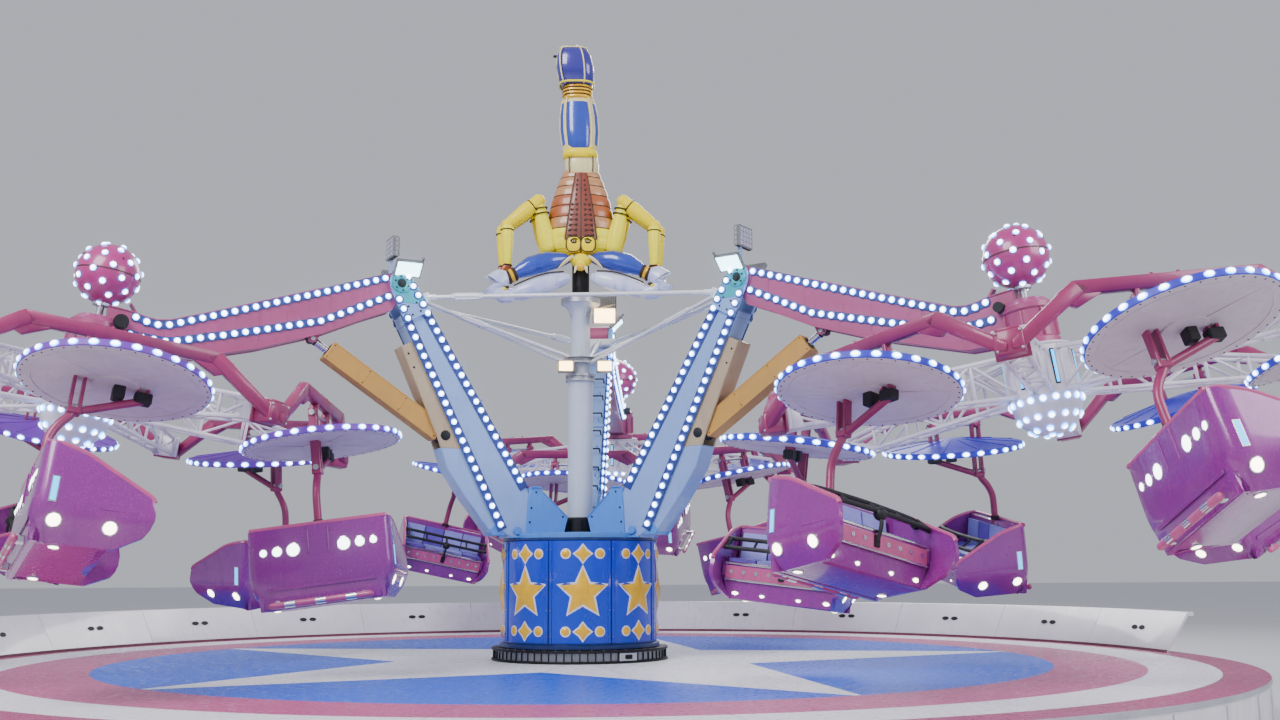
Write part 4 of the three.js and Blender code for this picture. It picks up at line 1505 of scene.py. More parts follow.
@dataclass
class Masts:
    """Three slanted masts on a ring plate, with lamps along their edges."""

    paints: Finishes
    repeat: Repeater
    base: float = DRUM_LID
    half_width: float = 0.18
    fork: float = 0.158
    channel: float = 0.1
    lamp_inset: float = 0.048

    def build(self) -> None:
        """Makes the ring plate and dresses each mast."""
        b = DECK_HEIGHT + self.base
        plate = Shape(Finish.GUSSET)
        plate.lathe([(0.215, b), (0.9, b), (0.9, b + 0.055), (0.89, b + 0.06), (0.215, b + 0.06)], 64)
        ring = plate.mesh("mast ring", self.paints)
        put(ring, "mast_ring_plate", "rotor", replaces=["mast_frame"])
        lamps, cups = self.lamps()
        dressing = {
            "mast_": self.mast().mesh("mast", self.paints), "mast_lamp_cups_": cups, "mast_lamps_": lamps,
            "mast_bolts_": self.bolts(), "mast_flood_panels_": self.flood_panels(),
        }
        for side in Side:
            for name, mesh in dressing.items():
                put(mesh, name + side.label, "rotor", side.arm)
        ladder = self.ladder().mesh("ladder", self.paints)
        put(ladder, "mast_ladder_rear", "rotor", Side.REAR.arm)

    def mast(self) -> Shape:
        """One mast with its strut, gusset, fork head and floodlight.

        Returns:
            The shape.
        """
        shape = Shape(Finish.MAST)
        b, w = self.base, self.half_width
        d = half_depth(MAST_TOP)
        web = [(0.425, b), (0.96, b), (1.13, 1.545), on_mast_xz(MAST_TOP, d), on_mast_xz(MAST_TOP, -d)]
        shape.slab(web, -w + 0.014, w - 0.014, bevel=0.012)
        for side in BOTH:
            for edge, low in ((1, 0.2), (-1, 0.5)):
                near, far = half_depth(low), half_depth(MAST_TOP)
                outline = [
                    on_mast_xz(low, edge * (near - self.channel)), on_mast_xz(low, edge * near),
                    on_mast_xz(MAST_TOP, edge * far), on_mast_xz(MAST_TOP, edge * (far - self.channel)),
                ]
                shape.slab(outline, side * (w - 0.02), side * (w - 0.004), paint=Finish.LAMP_CHANNEL)
                for lip in (near + 0.001, near - self.channel):
                    shrink = far - near
                    a = on_mast(low, edge * lip, side * (w - 0.006))
                    c = on_mast(MAST_TOP, edge * (lip + shrink), side * (w - 0.006))
                    shape.bar(a, c, 0.012, 0.01, Finish.LAMP_CHANNEL, 0.002)
        for along in (0.3, 0.9, 1.6, 2.3, 2.9):
            for edge in (-half_depth(along) - 0.003, half_depth(along) + 0.003):
                shape.bar(on_mast(along - 0.02, edge), on_mast(along + 0.02, edge), 2 * w - 0.02, 0.01)
        for k in range(5):
            along = 0.75 + 0.46 * k
            edge = -half_depth(along)
            for y in (-0.1, 0.1):
                shape.bar(on_mast(along, edge, y), on_mast(along + 0.02, edge - 0.075, y), 0.02, 0.008)
                shape.tube(
                    on_mast(along + 0.01, edge - 0.06, y - 0.012),
                    on_mast(along + 0.01, edge - 0.06, y + 0.012), 0.014, sides=10,
                )
        self.strut(shape)
        gusset = [(0.235, b), (0.48, b), (0.7, 1.9), (0.64, 2.05)]
        shape.slab(gusset, -0.02, 0.02, paint=Finish.GUSSET)
        foot = [(0.31, b), (0.24, 1.7), (0.57, 2.0), (0.6, 2.055), (0.735, 2.055), (0.76, 1.9), (0.79, b)]
        for side in BOTH:
            y = side * (w - 0.014)
            shape.slab(foot, y, y + side * 0.016, paint=Finish.GUSSET)
            shape.block((0.13, 0.04, 0.016), (0.665, y + side * 0.02, 2.05), Finish.GUSSET)
            shape.bar(
                (0.25, y + side * 0.012, 1.7), (0.57, y + side * 0.012, 1.99), 0.03, 0.014, Finish.GUSSET,
            )
            shape.slab(
                [(0.3, b), (1.0, b), (1.0, b + 0.02), (0.3, b + 0.02)], y, y + side * 0.06,
                paint=Finish.GUSSET,
            )
            shape.tube((0.9, y, 1.53), (0.9, y + side * 0.04, 1.53), 0.045, Finish.GUSSET, 20)
        self.head(shape)
        self.floodlight(shape)
        return shape

    @staticmethod
    def strut(shape: Shape) -> None:
        """Adds the strut: a plain foot, and an upper part with the ram's slot in it, whose tan is painted
        yellow light on the strut's light grey.

        Args:
            shape: Takes the shells.
        """
        b = DRUM_LID
        low = [(0.7, b), (1.0, b), (1.04, 1.555), (1.22, 1.5), (1.55, 1.92), (1.77, 2.24), (1.856, 2.49)]
        shape.slab([*low, (1.517, 2.49), (1.2, 1.9)], -0.15, 0.15, bevel=0.01)
        # The tan of the upper part and its cheeks is painted yellow light, not the strut's own light grey.
        shape.slab(
            [(1.5, 2.46), (1.7, 2.46), (1.7, 2.797), (1.681, 2.797)], -0.148, 0.148, paint=Finish.STRUT,
            bevel=0,
        )
        upper = [(1.681, 2.785), (1.69, 2.79), (2.103, 3.075), (2.36, 3.66), (2.19, 3.745)]
        shape.slab(upper, -0.149, 0.149, paint=Finish.STRUT, bevel=0)
        for side in BOTH:
            cheek = [(1.515, 2.485), (1.853, 2.485), (1.89, 2.59), (2.36, 3.66), (2.19, 3.745)]
            shape.slab(cheek, side * 0.1212, side * 0.1505, paint=Finish.STRUT, bevel=0.006)
            for line in (((1.53, 2.51), (2.17, 3.7)), ((1.9, 2.65), (2.345, 3.66))):
                (ax, az), (cx, cz) = line
                y = side * 0.15
                shape.bar((ax, y, az), (cx, y, cz), 0.008, 0.018, Finish.STRUT, 0.003)
            boss = move(RAM_FOOT.x, side * 0.121, RAM_FOOT.z) @ turn(-90 * side, "X")
            shape.lathe(
                [(0, 0), (0.06, 0), (0.06, 0.034), (0.05, 0.04), (0, 0.04)], 20, Finish.DARK_STEEL, boss,
            )
        shape.tube(
            (RAM_FOOT.x, -0.14, RAM_FOOT.z), (RAM_FOOT.x, 0.14, RAM_FOOT.z), 0.029, Finish.DARK_STEEL, 16,
        )
        shape.slab(
            [(1.04, 1.47), (1.2, 1.47), (1.24, 1.53), (1.1, 1.7)], -0.155, 0.155, paint=Finish.GUSSET,
            bevel=0.006,
        )

    def head(self, shape: Shape) -> None:
        """Adds the fork cheeks with their painted caps and the pin bosses.

        Args:
            shape: Takes the shells.
        """
        fork = self.fork
        x, z = MAST_HEAD.x, MAST_HEAD.z
        low = MAST_TOP - 0.1
        cheek = [
            on_mast_xz(low, half_depth(low)), (2.515, 4.355), (2.52, 4.44), (2.5, 4.505), (2.43, 4.52),
            (2.262, 4.485), on_mast_xz(low, -half_depth(low)),
        ]
        cap = [(2.075, 4.17), (2.43, 4.17), (2.512, 4.355), (2.516, 4.44), (2.497, 4.502), (2.265, 4.482)]
        for side in BOTH:
            shape.slab(cheek, side * fork, side * (fork + 0.05), bevel=0.006)
            shape.slab(
                cap, side * (fork + 0.046), side * (fork + 0.054), paint=Finish.PIN_BOSS, bevel=0.003,
            )
            boss = move(x, side * (fork + 0.03), z) @ turn(-90 * side, "X")
            ring = [(0.052, 0), (0.112, 0), (0.112, 0.03), (0.104, 0.042), (0.062, 0.045), (0.052, 0.036)]
            shape.lathe(ring, 32, Finish.PIN_BOSS, boss)
            shape.lathe([(0, 0), (0.055, 0), (0.055, 0.032), (0, 0.032)], 24, Finish.DARK_STEEL, boss)
            shape.lathe([(0, 0.03), (0.026, 0.03), (0.026, 0.05), (0, 0.05)], 6, Finish.DARK_STEEL, boss)
            for k in range(6):
                a = math.radians(k * 60 + 20)
                middle = (x + 0.082 * math.cos(a), side * (fork + 0.076), z + 0.082 * math.sin(a))
                shape.tube(
                    middle, (middle[0], side * (fork + 0.084), middle[2]), 0.011, Finish.DARK_STEEL, 6,
                )
        shape.tube((x, -fork - 0.04, z), (x, fork + 0.04, z), 0.058, Finish.DARK_STEEL, 24)

    @staticmethod
    def floodlight(shape: Shape) -> None:
        """Adds the unlit floodlight on its post: casting, fins, glass and four bright studs.

        Args:
            shape: Takes the shells.
        """
        x, y, z = 2.42, -0.105, 4.885
        shape.bar((x, -0.183, 4.455), (x, -0.183, 4.8), 0.04, 0.04)
        shape.block((0.09, 0.05, 0.06), (x, -0.183, 4.51), bevel=0.006)
        place = move(x, y, z)
        shape.block((0.05, 0.3, 0.25), (0.01, 0, 0), Finish.FLOODLIGHT_CASTING, 0.01, place)
        shape.block((0.014, 0.31, 0.26), (0.034, 0, 0), Finish.FLOODLIGHT_CASTING, 0.005, place)
        shape.block((0.01, 0.27, 0.22), (0.038, 0, 0), Finish.FLOODLIGHT_GLASS, 0.003, place)
        for i in range(3):
            shape.block(
                (0.008, 0.264, 0.004), (0.042, 0, -0.055 + 0.055 * i), Finish.FLOODLIGHT_CASTING, 0.001,
                place,
            )
            shape.block(
                (0.008, 0.004, 0.214), (0.042, -0.065 + 0.065 * i, 0), Finish.FLOODLIGHT_CASTING, 0.001,
                place,
            )
        for i in range(11):
            shape.block(
                (0.034, 0.006, 0.23), (-0.028, -0.135 + 0.027 * i, 0), Finish.FLOODLIGHT_CASTING, 0.002,
                place,
            )
        for side in BOTH:
            near, far = sorted((side * 0.146, side * 0.158))
            cheek = [(-0.03, -0.125), (0.012, -0.125), (0.012, 0.125), (-0.03, 0.125)]
            shape.slab(cheek, near, far, paint=Finish.FLOODLIGHT_CASTING, place=place)
            for k in range(4):
                high = -0.085 + 0.057 * k
                shape.tube(
                    (-0.008, side * 0.155, high), (-0.008, side * 0.16, high), 0.011,
                    Finish.FLOODLIGHT_GLASS, place=place,
                )
        shape.bar((x, -0.26, 4.76), (x, 0.05, 4.76), 0.035, 0.012, Finish.DARK_STEEL)

    def flood_panels(self) -> bpy.types.Mesh:
        """The two lit panels above the pin, which face away from the boom and down.

        Returns:
            The mesh.
        """
        shape = Shape(Finish.FLOOD_PANEL)
        for side in BOTH:
            place = move(MAST_HEAD.x - 0.06, side * 0.27, MAST_HEAD.z + 0.178) @ turn(-45 * side, "X")
            shape.block(
                (0.318, 0.046, 0.218), (0, -side * 0.006, 0), Finish.FLOODLIGHT_CASTING, 0.008, place,
            )
            shape.block((0.288, 0.01, 0.188), (0, side * 0.02, 0), bevel=0.003, place=place)
            for end in BOTH:
                shape.block(
                    (0.014, 0.016, 0.218), (end * 0.152, side * 0.02, 0), Finish.FLOODLIGHT_CASTING, 0.003,
                    place,
                )
                shape.block(
                    (0.318, 0.016, 0.014), (0, side * 0.02, end * 0.102), Finish.FLOODLIGHT_CASTING, 0.003,
                    place,
                )
            for k in range(7):
                shape.block(
                    (0.006, 0.02, 0.19), (-0.12 + 0.04 * k, -side * 0.022, 0), Finish.FLOODLIGHT_CASTING,
                    0.002, place,
                )
            shape.tube(
                (-0.15, 0, 0.108), (-0.15, 0, 0.15), 0.012, Finish.FLOODLIGHT_CASTING, 10, place=place,
            )
            shape.ball((0.018, 0.018, 0.018), (-0.15, 0, 0.15), Finish.FLOODLIGHT_CASTING, 10, 8, place)
            shape.block(
                (0.05, 0.03, 0.06), (0, -side * 0.01, -0.105), Finish.FLOODLIGHT_CASTING, 0.005, place,
            )
        return shape.mesh("flood panels", self.paints)

    def lamp_rows(self) -> list[tuple[list[Vector], Point]]:
        """The lines that the lamps follow, and the way that each faces.

        Returns:
            Each line's points and the way that its lamps face.
        """
        w, head = self.half_width - 0.003, self.fork + 0.054
        rows = []
        for side in BOTH:
            for edge, low, high in ((1, 0.27, 3.18), (-1, 0.62, 3.37)):
                path = []
                for along, y in ((low, w), (2.84, w), (2.93, head), (high, head)):
                    path.append(on_mast(along, edge * (half_depth(along) - self.lamp_inset), side * y))
                rows.append((path, (0, side, 0)))
        return rows

    def lamps(self) -> tuple[bpy.types.Mesh, bpy.types.Mesh]:
        """Lamp caps along both edges of both side faces, and the dark cups that they sit in."""
        rows = self.lamp_rows()
        return self.repeat.lamp_row(rows, 0.056, self.paints)

    def bolts(self) -> bpy.types.Mesh:
        """Bolt heads on the foot plates and the fork cheeks.

        Returns:
            The mesh.
        """
        points, aims = [], []
        foot = ((0.38, 1.5), (0.5, 1.5), (0.74, 1.5), (0.31, 1.7), (0.66, 1.99), (0.72, 1.8), (0.74, 1.63))
        for side in BOTH:
            for x, z in foot:
                points.append((x, side * (self.half_width + 0.003), z))
                aims.append((0, side, 0))
            for along in (2.95, 3.06):
                for out in (-0.06, 0.05):
                    points.append(on_mast(along, out, side * 0.209))
                    aims.append((0, side, 0))
            for x, z in ((1.62, 2.6), (1.66, 2.68), (2.2, 3.42), (2.27, 3.58)):
                points.append((x, side * 0.151, z))
                aims.append((0, side, 0))
        values = {"Radius": 0.014, "Height": 0.011, "Sides": 6}
        return self.repeat.scatter(points, aims, Finish=self.paints[Finish.DARK_STEEL], **values)

    def ladder(self) -> Shape:
        """Rungs up the inner face of the rear mast.

        Returns:
            The shape.
        """
        shape = Shape(Finish.DARK_STEEL)
        for i in range(8):
            along = 0.55 + 0.3 * i
            d = -half_depth(along)
            path = [
                on_mast(along, d, -0.14), on_mast(along, d - 0.09, -0.14), on_mast(along, d - 0.09, 0.14),
                on_mast(along, d, 0.14),
            ]
            for a, b in zip(path, path[1:]):
                shape.tube(a, b, 0.01, sides=8)
        return shape


@dataclass
class Column:
    """The middle column with its collars, lamps and tie rods."""

    paints: Finishes
    repeat: Repeater
    radius: float = 0.155
    foot: float = DRUM_LID
    top: float = 4.45

    def build(self) -> None:
        """Makes the column, its fittings and the ties."""
        z, r = DECK_HEIGHT, self.radius
        column = Shape(Finish.COLUMN)
        post = [(0, 1.7), (r, 1.7), (r, 3.4), (0, 3.4)]
        neck = [(0, 3.47), (0.12, 3.47), (0.12, 4.25), (0.17, 4.33), (0.235, 4.385), (0, 4.385)]
        flange = [(0, 4.385), (0.25, 4.385), (0.25, self.top), (0, self.top)]
        clamp = [
            (0, 3.395), (0.19, 3.395), (0.19, 3.425), (0.17, 3.43), (0.17, 3.45), (0.19, 3.455),
            (0.19, 3.485), (0, 3.485),
        ]
        collar = [
            (0, 3.62), (0.21, 3.62), (0.21, 3.64), (0.15, 3.66), (0.15, 3.68), (0.21, 3.69), (0.21, 3.7),
            (0, 3.7),
        ]
        foot = [(0, self.foot), (0.2, self.foot), (0.2, 1.68), (0.18, 1.7), (0, 1.7)]
        for profile, sides, paint in (
            (post, 48, None), (neck, 48, None), (flange, 32, Finish.TIE_ROD_ZINC),
            (clamp, 48, Finish.TIE_ROD_ZINC), (collar, 48, Finish.TIE_ROD_ZINC),
            (foot, 32, Finish.DARK_STEEL),
        ):
            column.lathe(raised(profile, z), sides, paint)
        for i in range(8):
            column.block((0.06, 0.03, 0.22), (0.205, 0, z + 1.57), Finish.DARK_STEEL, place=turn(i * 45))
            column.tube(
                (0.17, 0, z + 3.4), (0.17, 0, z + 3.48), 0.014, Finish.RING_STEEL, 8,
                place=turn(i * 45 + 10),
            )
        for i in range(6):
            column.slab(
                [(0.12, z + 4.2), (0.15, z + 4.3), (0.235, z + 4.385), (0.12, z + 4.385)], -0.008, 0.008,
                place=turn(i * 60),
            )
        mesh = column.mesh("column", self.paints)
        put(mesh, "column", "rotor", replaces=["column_with_ties"])
        self.lamps()
        self.ties()

    def lamps(self) -> None:
        """Makes the two flood boxes under the collar and the tube lamp beside the top."""
        z = DECK_HEIGHT
        boxes = Shape(Finish.FLOODLIGHT_CASTING)
        for side in BOTH:
            boxes.block((0.2, 0.12, 0.15), (side * 0.24 + 0.06, -0.2, z + 3.56), bevel=0.01)
            boxes.block((0.17, 0.012, 0.12), (side * 0.24 + 0.06, -0.264, z + 3.56), Finish.WARM_LAMP)
            boxes.bar(
                (side * 0.17 + 0.03, -0.12, z + 3.65), (side * 0.22 + 0.05, -0.18, z + 3.65), 0.03, 0.02,
            )
        put(boxes.mesh("flood boxes", self.paints), "column_flood_boxes", "rotor")
        tube = Shape(Finish.WARM_LAMP)
        tube.tube((0.16, -0.13, z + 4.22), (0.44, -0.13, z + 4.22), 0.09, sides=20)
        for x in (0.15, 0.43):
            tube.tube(
                (x, -0.13, z + 4.22), (x + 0.02, -0.13, z + 4.22), 0.095, Finish.FLOODLIGHT_CASTING, 20,
            )
        tube.bar((0.16, -0.1, z + 4.3), (0.44, -0.1, z + 4.38), 0.02, 0.02, Finish.FLOODLIGHT_CASTING)
        put(tube.mesh("tube lamp", self.paints), "column_tube_lamp", "rotor")

    def ties(self) -> None:
        """Makes the sloping and the level tie rods with their turnbuckles."""
        ties = Shape(Finish.TIE_ROD)
        along = MAST_LENGTH - 0.275
        out = -half_depth(along) - 0.0003
        ends = []
        for side in (Side.REAR, Side.RIGHT, Side.LEFT):
            arm = side.arm
            outline = [
                on_mast_xz(along - 0.06, -half_depth(along - 0.06) - 0.0005),
                on_mast_xz(along + 0.06, -half_depth(along + 0.06) - 0.0005),
                on_mast_xz(along + 0.055, out - 0.07), on_mast_xz(along - 0.055, out - 0.07),
            ]
            ties.slab(outline, -0.24, 0.24, bevel=0.006, place=arm)
            r, z = on_mast_xz(along, out - 0.04)
            ends.append((arm @ Vector((r, 0.225, z)), arm @ Vector((r, -0.225, z))))
            for y in (-0.05, 0.05):
                lean = 0.04 if y < 0 else -0.04
                a = arm @ Vector((r, y, z + lean * 0.6))
                b = arm @ Vector((0.17, y * 0.6, 3.66 - lean))
                ties.tube(a, b, 0.023)
                self.turnbuckle(ties, a.lerp(b, 0.24), a.lerp(b, 0.42), 0.028)
                ties.block((0.09, 0.03, 0.05), tuple(a), bevel=0.005)
        for i, (_, right) in enumerate(ends):
            left = ends[(i + 1) % 3][0]
            ties.tube(right, left, 0.026)
            self.turnbuckle(ties, right.lerp(left, 0.81), right.lerp(left, 0.91), 0.04)
            for a, b in ((right, left), (left, right)):
                ties.tube(a, a.lerp(b, 0.03), 0.036)
        put(ties.mesh("ties", self.paints), "tie_rods", "rotor")

    @staticmethod
    def turnbuckle(shape: Shape, a: Vector, b: Vector, half: float) -> None:
        """Adds a turnbuckle: a long sleeve with flat sides between two nuts.

        Args:
            shape: Takes the shells.
            a: One end.
            b: The other end.
            half: Half its thickness.
        """
        way = (b - a).normalized()
        shape.tube(a, b, half, sides=8)
        shape.bar(a + way * 0.03, b - way * 0.03, half * 1.5, half * 2.02)
        for p in (a, b):
            shape.tube(p - way * 0.022, p + way * 0.012, half * 1.08, sides=6)


@dataclass
class Boom:
    """One boom with its lamps, its bearing and motor, the light ball and the ram."""

    paints: Finishes
    repeat: Repeater
    half_width: float = 0.15
    ball_radius: float = 0.335
    ball_height: float = 1.52
    ball_lamp_count: int = 46

    low_line = ((2.48, 4.085), (2.8, 3.96), (3.31, 3.735), (4.01, 3.52), (5.04, 3.29), (5.56, 3.33))
    high_line = (
        (5.56, 3.87), (5.3, 3.82), (5.18, 3.78), (5.06, 3.755), (4.93, 3.765), (4.57, 3.87), (4.1, 4.015),
        (3.28, 4.275), (2.6, 4.5),
    )
    upper_lamps = (
        (2.57, 4.455), (3.28, 4.225), (4.1, 3.965), (4.57, 3.82), (4.93, 3.71), (5.05, 3.7), (5.17, 3.725),
        (5.28, 3.765),
    )
    lower_lamps = (
        (2.53, 4.24), (3.07, 3.99), (3.3, 3.885), (3.85, 3.755), (4.38, 3.635), (4.87, 3.535),
        (4.97, 3.525), (5.22, 3.555), (5.33, 3.575),
    )

    def build(self) -> None:
        """Makes the three booms."""
        beam = self.beam().mesh("boom", self.paints)
        lamps, cups = self.lamps()
        ball = self.ball_shell()
        ball_lamps, ball_cups = self.ball_lamps()
        barrel, rod = self.ram()
        for side in Side:
            label, arm, end = side.label, side.arm, side.carrier
            body = "boom_" + label
            put(beam, "boom_beam_" + label, body, arm, ["boom_" + label])
            put(lamps, "boom_lamps_" + label, body, arm)
            put(cups, "boom_lamp_cups_" + label, body, arm)
            put(ball, "ball_shell_" + label, body, end, ["light_ball_" + label])
            put(ball_lamps, "ball_lamps_" + label, body, end)
            put(ball_cups, "ball_lamp_cups_" + label, body, end)
            put(barrel, "ram_cover_" + label, "barrel_" + label, arm, ["ram_barrel_" + label])
            put(rod, "ram_shaft_" + label, "rod_" + label, arm, ["ram_rod_" + label])

    def beam(self) -> Shape:
        """The bent box beam with flanges, lamp channels, pin eye, bracket and bearing.

        Returns:
            The shape.
        """
        shape = Shape(Finish.BOOM)
        px, pz = MAST_HEAD.x, MAST_HEAD.z
        start, end = (px - 0.015, pz - 0.15), (px + 0.04, pz + 0.145)
        w = self.half_width
        outline = [start, *self.low_line, *self.high_line, end]
        for side in BOTH:
            shape.slab(outline, side * 0.05, side * (w - 0.012), bevel=0)
        notch = [(3.29, 3.7438), (3.3, 3.77), (3.47, 3.77), (3.47, 3.6858)]
        middle = [start, *self.low_line[:2], *notch, *self.low_line[3:], *self.high_line, end]
        shape.slab(middle, -0.05, 0.05, bevel=0)
        self.strap(shape, self.high_line[:-1], 2 * w, 0.014)
        for y in BOTH:
            for (ax, az), (bx, bz) in zip(self.low_line, self.low_line[1:]):
                edge = y * (w - 0.025)
                shape.bar((ax, edge, az), (bx, edge, bz), 0.05, 0.014, bevel=0.003)
        for path in (self.upper_lamps, self.lower_lamps):
            for side in BOTH:
                rows = [(x, z - 0.045) for x, z in path] + [(x, z + 0.045) for x, z in reversed(path)]
                shape.slab(
                    rows, side * (w - 0.014), side * (w - 0.002), paint=Finish.LAMP_CHANNEL, bevel=0.003,
                )
        shape.tube((px, -w, pz), (px, w, pz), 0.15, sides=32)
        for x, z, tall in ((5.0, 3.52, 0.13), (4.0, 3.76, 0.15), (3.2, 4.05, 0.14), (2.75, 4.22, 0.12)):
            for side in BOTH:
                y = side * (w - 0.013)
                shape.block((0.02, 0.012, 2 * tall), (x, y, z), bevel=0.003)
        for x, z in ((3.6, 3.9), (4.5, 3.7)):
            for side in BOTH:
                shape.block((0.16, 0.01, 0.1), (x, side * (w - 0.01), z))
        self.bracket(shape)
        self.bearing(shape)
        return shape

    @staticmethod
    def strap(shape: Shape, line: Sequence[Point], wide: float, thick: float) -> None:
        """Adds a flat strap along a line in the boom's plane."""
        for (ax, az), (bx, bz) in zip(line, line[1:]):
            shape.bar((ax, 0, az), (bx, 0, bz), wide, thick, bevel=0.003)

    @staticmethod
    def bracket(shape: Shape) -> None:
        """Adds the lugs and the pin that the ram's eye sits on.

        Args:
            shape: Takes the shells.
        """
        x, z = RAM_HEAD.x, RAM_HEAD.z
        outline = [
            (x - 0.11, 3.8), (x - 0.04, z - 0.035), (x, z - 0.052), (x + 0.045, z - 0.04), (x + 0.09, 3.78),
        ]
        for side in BOTH:
            shape.slab(outline, side * 0.05, side * 0.07, bevel=0.003)
            shape.tube((x, side * 0.068, z), (x, side * 0.082, z), 0.028, Finish.TIE_ROD_ZINC, 6)
        shape.tube((x, -0.075, z), (x, 0.075, z), 0.018, Finish.TIE_ROD_ZINC, 16)

    @staticmethod
    def bearing(shape: Shape) -> None:
        """Adds the spider's bearing housing, the gearbox and the motor on the boom's end.

        Args:
            shape: Takes the shells.
        """
        carrier = move(*BEARING_AT) @ turn(BEARING_TILT, "Y")
        profile = [
            (0, 0.54), (0.27, 0.54), (0.27, 0.6), (0.25, 0.62), (0.25, 0.9), (0.27, 0.92), (0.27, 0.97),
            (0.2, 1.035), (0, 1.035),
        ]
        shape.lathe(profile, place=carrier)
        for i in range(8):
            shape.block((0.05, 0.014, 0.28), (0.255, 0, 0.76), bevel=0.003, place=carrier @ turn(i * 45))
            shape.tube(
                (0.235, 0, 0.97), (0.235, 0, 0.985), 0.014, Finish.TIE_ROD_ZINC, 6,
                place=carrier @ turn(i * 45 + 22),
            )
        box = carrier @ move(-0.16, 0, 0)
        shape.block((0.26, 0.24, 0.3), (-0.06, 0, 0.98), bevel=0.012, place=box)
        shape.block((0.2, 0.2, 0.06), (-0.06, 0, 1.14), Finish.DARK_STEEL, 0.008, box)
        shape.tube((-0.06, 0.1, 1.0), (-0.06, 0.3, 1.0), 0.07, Finish.DARK_STEEL, 20, place=box)
        shape.tube((-0.06, -0.1, 1.0), (-0.06, -0.24, 1.0), 0.055, Finish.DARK_STEEL, 20, place=box)
        for i in range(7):
            shape.tube(
                (-0.06, 0.13 + 0.024 * i, 1.0), (-0.06, 0.138 + 0.024 * i, 1.0), 0.078, Finish.DARK_STEEL,
                20, place=box,
            )
        shape.bar((5.24, 0.0, 3.78), (5.33, 0.0, 3.93), 0.09, 0.03, bevel=0.006)

    def lamps(self) -> tuple[bpy.types.Mesh, bpy.types.Mesh]:
        """Lamp caps along both edges of both sides, and the dark cups that they sit in.

        Returns:
            The caps and the cups.
        """
        w = self.half_width - 0.001
        rows = []
        for side in BOTH:
            for path in (self.upper_lamps, self.lower_lamps):
                rows.append(([(x, side * w, z) for x, z in path], (0, side, 0)))
        return self.repeat.lamp_row(rows, 0.052, self.paints)

    def ball_shell(self) -> bpy.types.Mesh:
        """The ball in two halves on its stem, with an equator seam.

        Returns:
            The mesh.
        """
        shape = Shape(Finish.BALL_SHELL)
        r, z = self.ball_radius, self.ball_height
        shape.tube((0, 0, 1.0403), (0, 0, 1.25), 0.038, Finish.TIE_ROD_ZINC, 20)
        shape.tube((0, 0, 1.0403), (0, 0, 1.06), 0.075, Finish.TIE_ROD_ZINC, 20)
        shape.tube((0, 0, 1.17), (0, 0, 1.2), 0.09, Finish.TIE_ROD_ZINC, 20)
        steps = 18
        profile = [(0, z - r)]
        for i in range(1, steps):
            a = -math.pi / 2 + math.pi * i / steps
            profile.append((r * math.cos(a), z + r * math.sin(a)))
        profile.append((0, z + r))
        shape.lathe(profile, 40)
        seam = [
            (r - 0.01, z - 0.008), (r + 0.003, z - 0.006), (r + 0.003, z + 0.006), (r - 0.01, z + 0.008),
        ]
        shape.lathe(seam, paint=Finish.INK_LINE)
        for i in range(4):
            a = math.radians(i * 90 + 20)
            at = (0.3 * math.cos(a), 0.3 * math.sin(a), z + 0.15)
            shape.ball((0.012, 0.012, 0.012), at, Finish.INK_LINE, 8, 6)
        return shape.mesh("ball", self.paints)

    def ball_lamps(self) -> tuple[bpy.types.Mesh, bpy.types.Mesh]:
        """Lamp caps in an even spiral over the ball, and the ring round each.

        Returns:
            The caps and the cups.
        """
        count = self.ball_lamp_count
        points, aims = [], []
        for i in range(count):
            z = 1 - 2 * (i + 0.5) / count
            a = i * math.pi * (3 - math.sqrt(5))
            way = Vector((math.sqrt(1 - z * z) * math.cos(a), math.sqrt(1 - z * z) * math.sin(a), z))
            points.append(way * (self.ball_radius - 0.004) + Vector((0, 0, self.ball_height)))
            aims.append(way)
        caps = self.repeat.scatter(
            points, aims, Radius=0.036, Height=0.03, Sides=10, Finish=self.paints[Finish.WHITE_LAMP],
        )
        ring = self.paints[Finish.BALL_SOCKET]
        cups = self.repeat.scatter(points, aims, Radius=0.043, Height=0.01, Sides=12, Rings=4, Finish=ring)
        return caps, cups

    def ram(self) -> tuple[bpy.types.Mesh, bpy.types.Mesh]:
        """The ram's box cover with its foot eye, and its rod with the head eye.

        Returns:
            The cover and the rod.
        """
        foot, head, way = RAM_FOOT, RAM_HEAD, RAM_WAY
        across = Vector((-way.z, 0, way.x))
        cover = Shape(Finish.AMBER_COVER)
        cover.bar(foot + way * 0.06, foot + way * 1.675, 0.222, 0.222, bevel=0.012)
        for side in BOTH:
            edge = across * (0.106 * side)
            cover.bar(foot + way * 0.08 + edge, foot + way * 1.67 + edge, 0.23, 0.014, bevel=0.003)
            for end in (0.1, 0.62, 1.14, 1.64):
                a, b = foot + way * end, foot + way * (end + 0.02)
                out = Vector((0, side * 0.1105, 0))
                cover.bar(a + out, b + out, 0.006, 0.2, bevel=0.002)
            for end in (0.11, 0.63, 1.15, 1.65):
                for high in (-0.08, 0.08):
                    at = foot + way * end + across * high
                    tip = at + Vector((0, side * 0.1155, 0))
                    cover.tube(at + Vector((0, side * 0.11, 0)), tip, 0.008, Finish.DARK_STEEL, 6)
        cover.tube((foot.x, -0.11, foot.z), (foot.x, 0.11, foot.z), 0.069, Finish.DARK_STEEL, 24)
        cover.bar(foot + way * 0.01, foot + way * 0.14, 0.198, 0.108, Finish.DARK_STEEL, 0.006)
        cover.tube(foot + way * 1.66, foot + way * 1.68, 0.075, Finish.DARK_STEEL, 24)
        rod = Shape(Finish.CHROMED_STEEL)
        rod.tube(foot + way * 1.0, head - way * 0.035, 0.0415, sides=24)
        rod.tube((head.x, -0.035, head.z), (head.x, 0.035, head.z), 0.052, Finish.DARK_STEEL, 24)
